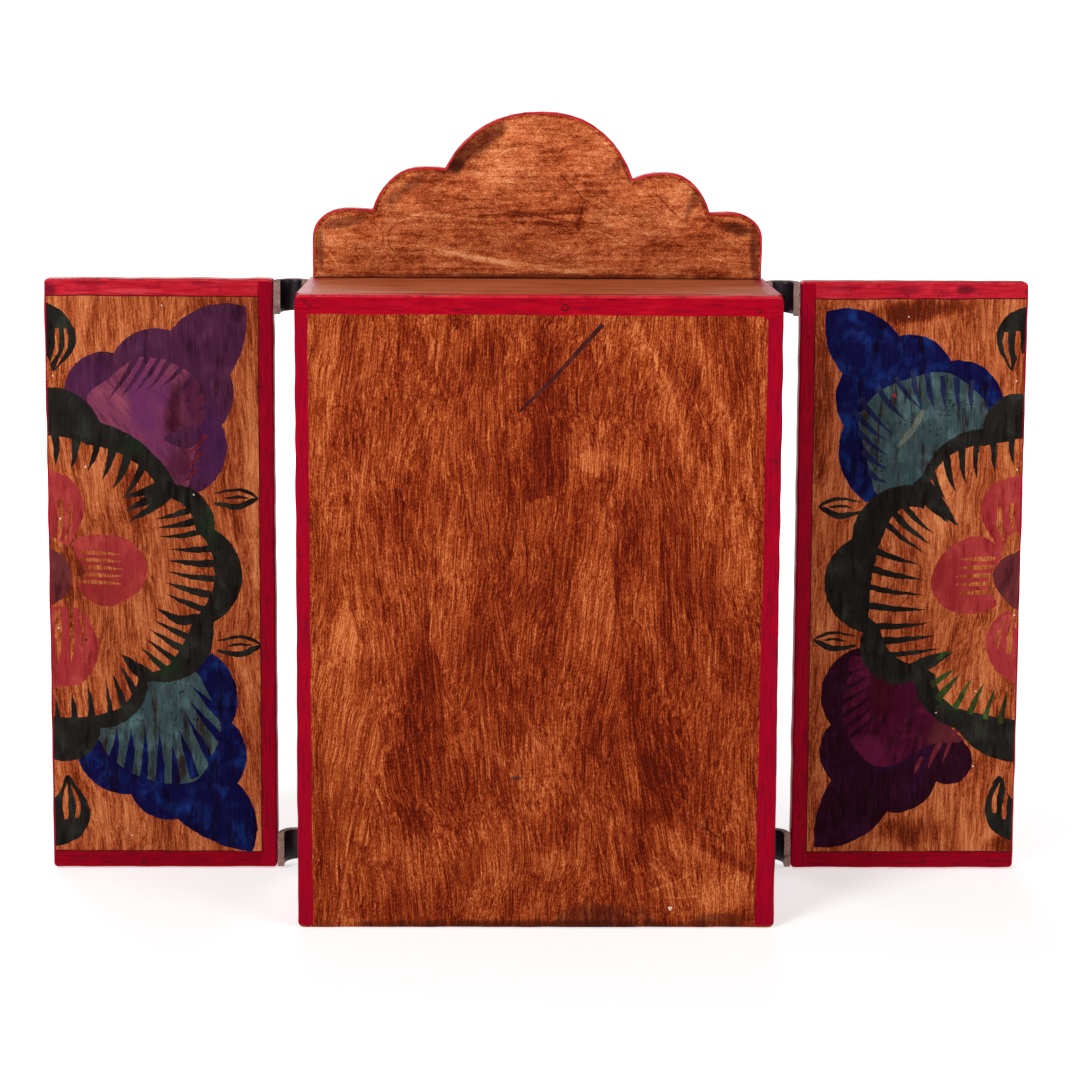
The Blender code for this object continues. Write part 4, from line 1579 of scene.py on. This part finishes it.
def strap_section(bottom, height):
    """Ring of (offset across, z, side) round the strap: its inner, grain side has offset above 0."""
    half = STRAP_THICKNESS / 2
    soft = LEATHER_EDGE
    ring = []
    for row in range(STRAP_ROWS + 1):
        z = bottom + soft + (height - 2 * soft) * row / STRAP_ROWS
        ring.append((half, z, "grain"))
    ring.append((half - soft, bottom + height, "flesh"))
    ring.append((-half + soft, bottom + height, "flesh"))
    for row in range(STRAP_ROWS + 1):
        z = bottom + height - soft - (height - 2 * soft) * row / STRAP_ROWS
        ring.append((-half, z, "flesh"))
    ring.append((-half + soft, bottom, "flesh"))
    ring.append((half - soft, bottom, "flesh"))
    return ring


def strap_rings(builder, line, side, level, low, high):
    """Rings of vertices along the strap, which widens towards the door."""
    rings = []
    total = len(line) - 1
    for i, point in enumerate(line):
        along = (line[min(i + 1, total)] - line[max(i - 1, 0)]).normalized()
        aside = Vector((-along.y, along.x)) * side
        height = STRAP_BOX_WIDTH + (STRAP_DOOR_WIDTH - STRAP_BOX_WIDTH) * i / total
        bottom = high.z - height if level == "top" else low.z + (STRAP_DOOR_WIDTH - height)
        ring = []
        for offset, z, _ in strap_section(bottom, height):
            fibre = noise.noise((point.x * 1.3 + offset, point.y * 1.3, z * 1.1))
            coarse = noise.noise((point.x / 3, point.y / 3, z / 4 + offset))
            rough = GRAIN_ROUGHNESS if offset > 0 else FLESH_ROUGHNESS
            spot = point + aside * offset * (1 + rough * fibre + COARSE_ROUGHNESS * coarse)
            if i in (0, total):
                spot = spot + along * END_ROUGHNESS * noise.noise((offset * 2, z * 0.9, i))
            ring.append(builder.verts.new(Vector((spot.x, spot.y, z + EDGE_WAVE * coarse)) * MM))
        rings.append(ring)
    return rings


def add_strap_faces(builder, rings):
    """Joins the rings, with the black grain side as material 0 and everything else as 1."""
    count = len(rings[0])
    kinds = [kind for _, _, kind in strap_section(0, 1)]
    for near, far in zip(rings, rings[1:]):
        for k in range(count):
            m = (k + 1) % count
            face = builder.faces.new((near[k], near[m], far[m], far[k]))
            face.material_index = 0 if kinds[k] == "grain" and kinds[m] == "grain" else 1
            face.smooth = True
    for ring in (rings[0], rings[-1]):
        middle = builder.verts.new(sum((v.co for v in ring), Vector()) / count)
        for k in range(count):
            face = builder.faces.new((ring[k], ring[(k + 1) % count], middle))
            face.material_index = 1
            face.smooth = False
    bmesh.ops.recalc_face_normals(builder, faces=builder.faces)


def make_strap(side_name, side, level):
    """One looped leather strap, bent round from the box to its door."""
    node = side_name + "_" + level + "_strap"
    low, high = node_size(node)
    _, door_high = node_size(side_name + "_door")
    bend = strap_bend(low, high, side)
    builder = bmesh.new()
    line = strap_line(bend, side, high.y, door_high.y)
    add_strap_faces(builder, strap_rings(builder, line, side, level, low, high))
    strap = make_object("leather_" + node, builder, [strap_paints["black"], strap_paints["suede"]])
    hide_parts(node)
    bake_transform(strap)


strap_paints = {"black": leather_black(), "suede": leather_suede()}


# Floor, light and camera

WORLD_LIGHT = 0.25
BACKDROP_LIGHT = 1.05

# The floor in metres. Past FLOOR_NEAR its glow grows, up to FAR_GLOW at FLOOR_FAR.
FLOOR_SIZE = 6.0
FLOOR_DROP = 0.0002
FLOOR_GLOW = 0.56
FAR_GLOW = 1.1
FLOOR_NEAR = 0.15
FLOOR_FAR = 0.6

# Soft square lamps: name, place, size and power. All are turned to LIGHT_TARGET.
LIGHT_TARGET = (0, 0, 0.15)
LAMPS = (
    ("key_light", (1.3, 1.6, 1.5), 0.7, 27),
    ("side_light", (-1.5, 1.3, 1.0), 0.8, 9),
    ("front_light", (0.3, -1.4, 1.1), 1.2, 12),
)


def make_floor():
    """A plain white floor that isn't part of the object."""
    builder = bmesh.new()
    bmesh.ops.create_grid(builder, x_segments=8, y_segments=8, size=FLOOR_SIZE)
    shader = Shader("floor_white", 0.9, 0.0)
    tone = shader.noise(shader.place, (800, 800, 800), 2)
    colour = shader.ramp(tone, ((0.0, srgb(228, 229, 230)), (1.0, srgb(232, 233, 234))))
    shader.feed(shader.surface.inputs["Base Color"], colour)
    distance = shader.vector("DOT_PRODUCT", shader.place, shader.place)
    far = shader.between(distance, FLOOR_NEAR**2, FLOOR_FAR**2)
    glow = shader.math("MULTIPLY", far, FAR_GLOW - FLOOR_GLOW)
    shader.surface.inputs["Emission Color"].default_value = (1, 1, 1, 1)
    shader.feed(shader.surface.inputs["Emission Strength"], shader.math("ADD", glow, FLOOR_GLOW))
    floor = make_object("floor", builder, [shader.material])
    floor.location.z = -FLOOR_DROP


def make_lamp(name, place, size, power):
    """A soft square lamp at place, turned to the object."""
    data = bpy.data.lights.new(name, "AREA")
    data.size = size
    data.energy = power
    lamp = bpy.data.objects.new(name, data)
    lamp.location = place
    lamp.rotation_euler = (Vector(LIGHT_TARGET) - Vector(place)).to_track_quat("-Z", "Y").to_euler()
    bpy.context.scene.collection.objects.link(lamp)


def make_surroundings():
    """White backdrop for the camera, dimmer light all round, and soft lamps."""
    world = bpy.data.worlds.new("studio")
    bpy.context.scene.world = world
    world.use_nodes = True
    tree = world.node_tree
    background = tree.nodes["Background"]
    path = tree.nodes.new("ShaderNodeLightPath")
    strength = tree.nodes.new("ShaderNodeMix")
    strength.data_type = "FLOAT"
    strength.inputs[2].default_value = WORLD_LIGHT
    strength.inputs[3].default_value = BACKDROP_LIGHT
    tree.links.new(path.outputs["Is Camera Ray"], strength.inputs[0])
    tree.links.new(strength.outputs[0], background.inputs["Strength"])
    background.inputs["Color"].default_value = (1, 1, 1, 1)
    for lamp in LAMPS:
        make_lamp(*lamp)


def make_camera():
    """The camera at the photograph's viewing angle."""
    data = bpy.data.cameras.new("camera")
    data.lens = CAMERA_LENS
    data.sensor_width = CAMERA_SENSOR
    data.shift_y = CAMERA_SHIFT
    camera = bpy.data.objects.new("camera", data)
    camera.location = CAMERA_PLACE
    camera.rotation_euler = [math.radians(a) for a in CAMERA_TURN]
    bpy.context.scene.collection.objects.link(camera)
    bpy.context.scene.camera = camera


make_back_panel()
make_box_boards()
make_crest()
make_door("right", 1, "right_door_glaze", right_door_painting)
make_door("left", -1, "left_door_glaze", left_door_painting)
for side_name, side in (("left", -1), ("right", 1)):
    for level in ("top", "bottom"):
        make_strap(side_name, side, level)
make_floor()
make_surroundings()
make_camera()
bpy.context.scene.view_settings.view_transform = "Standard"
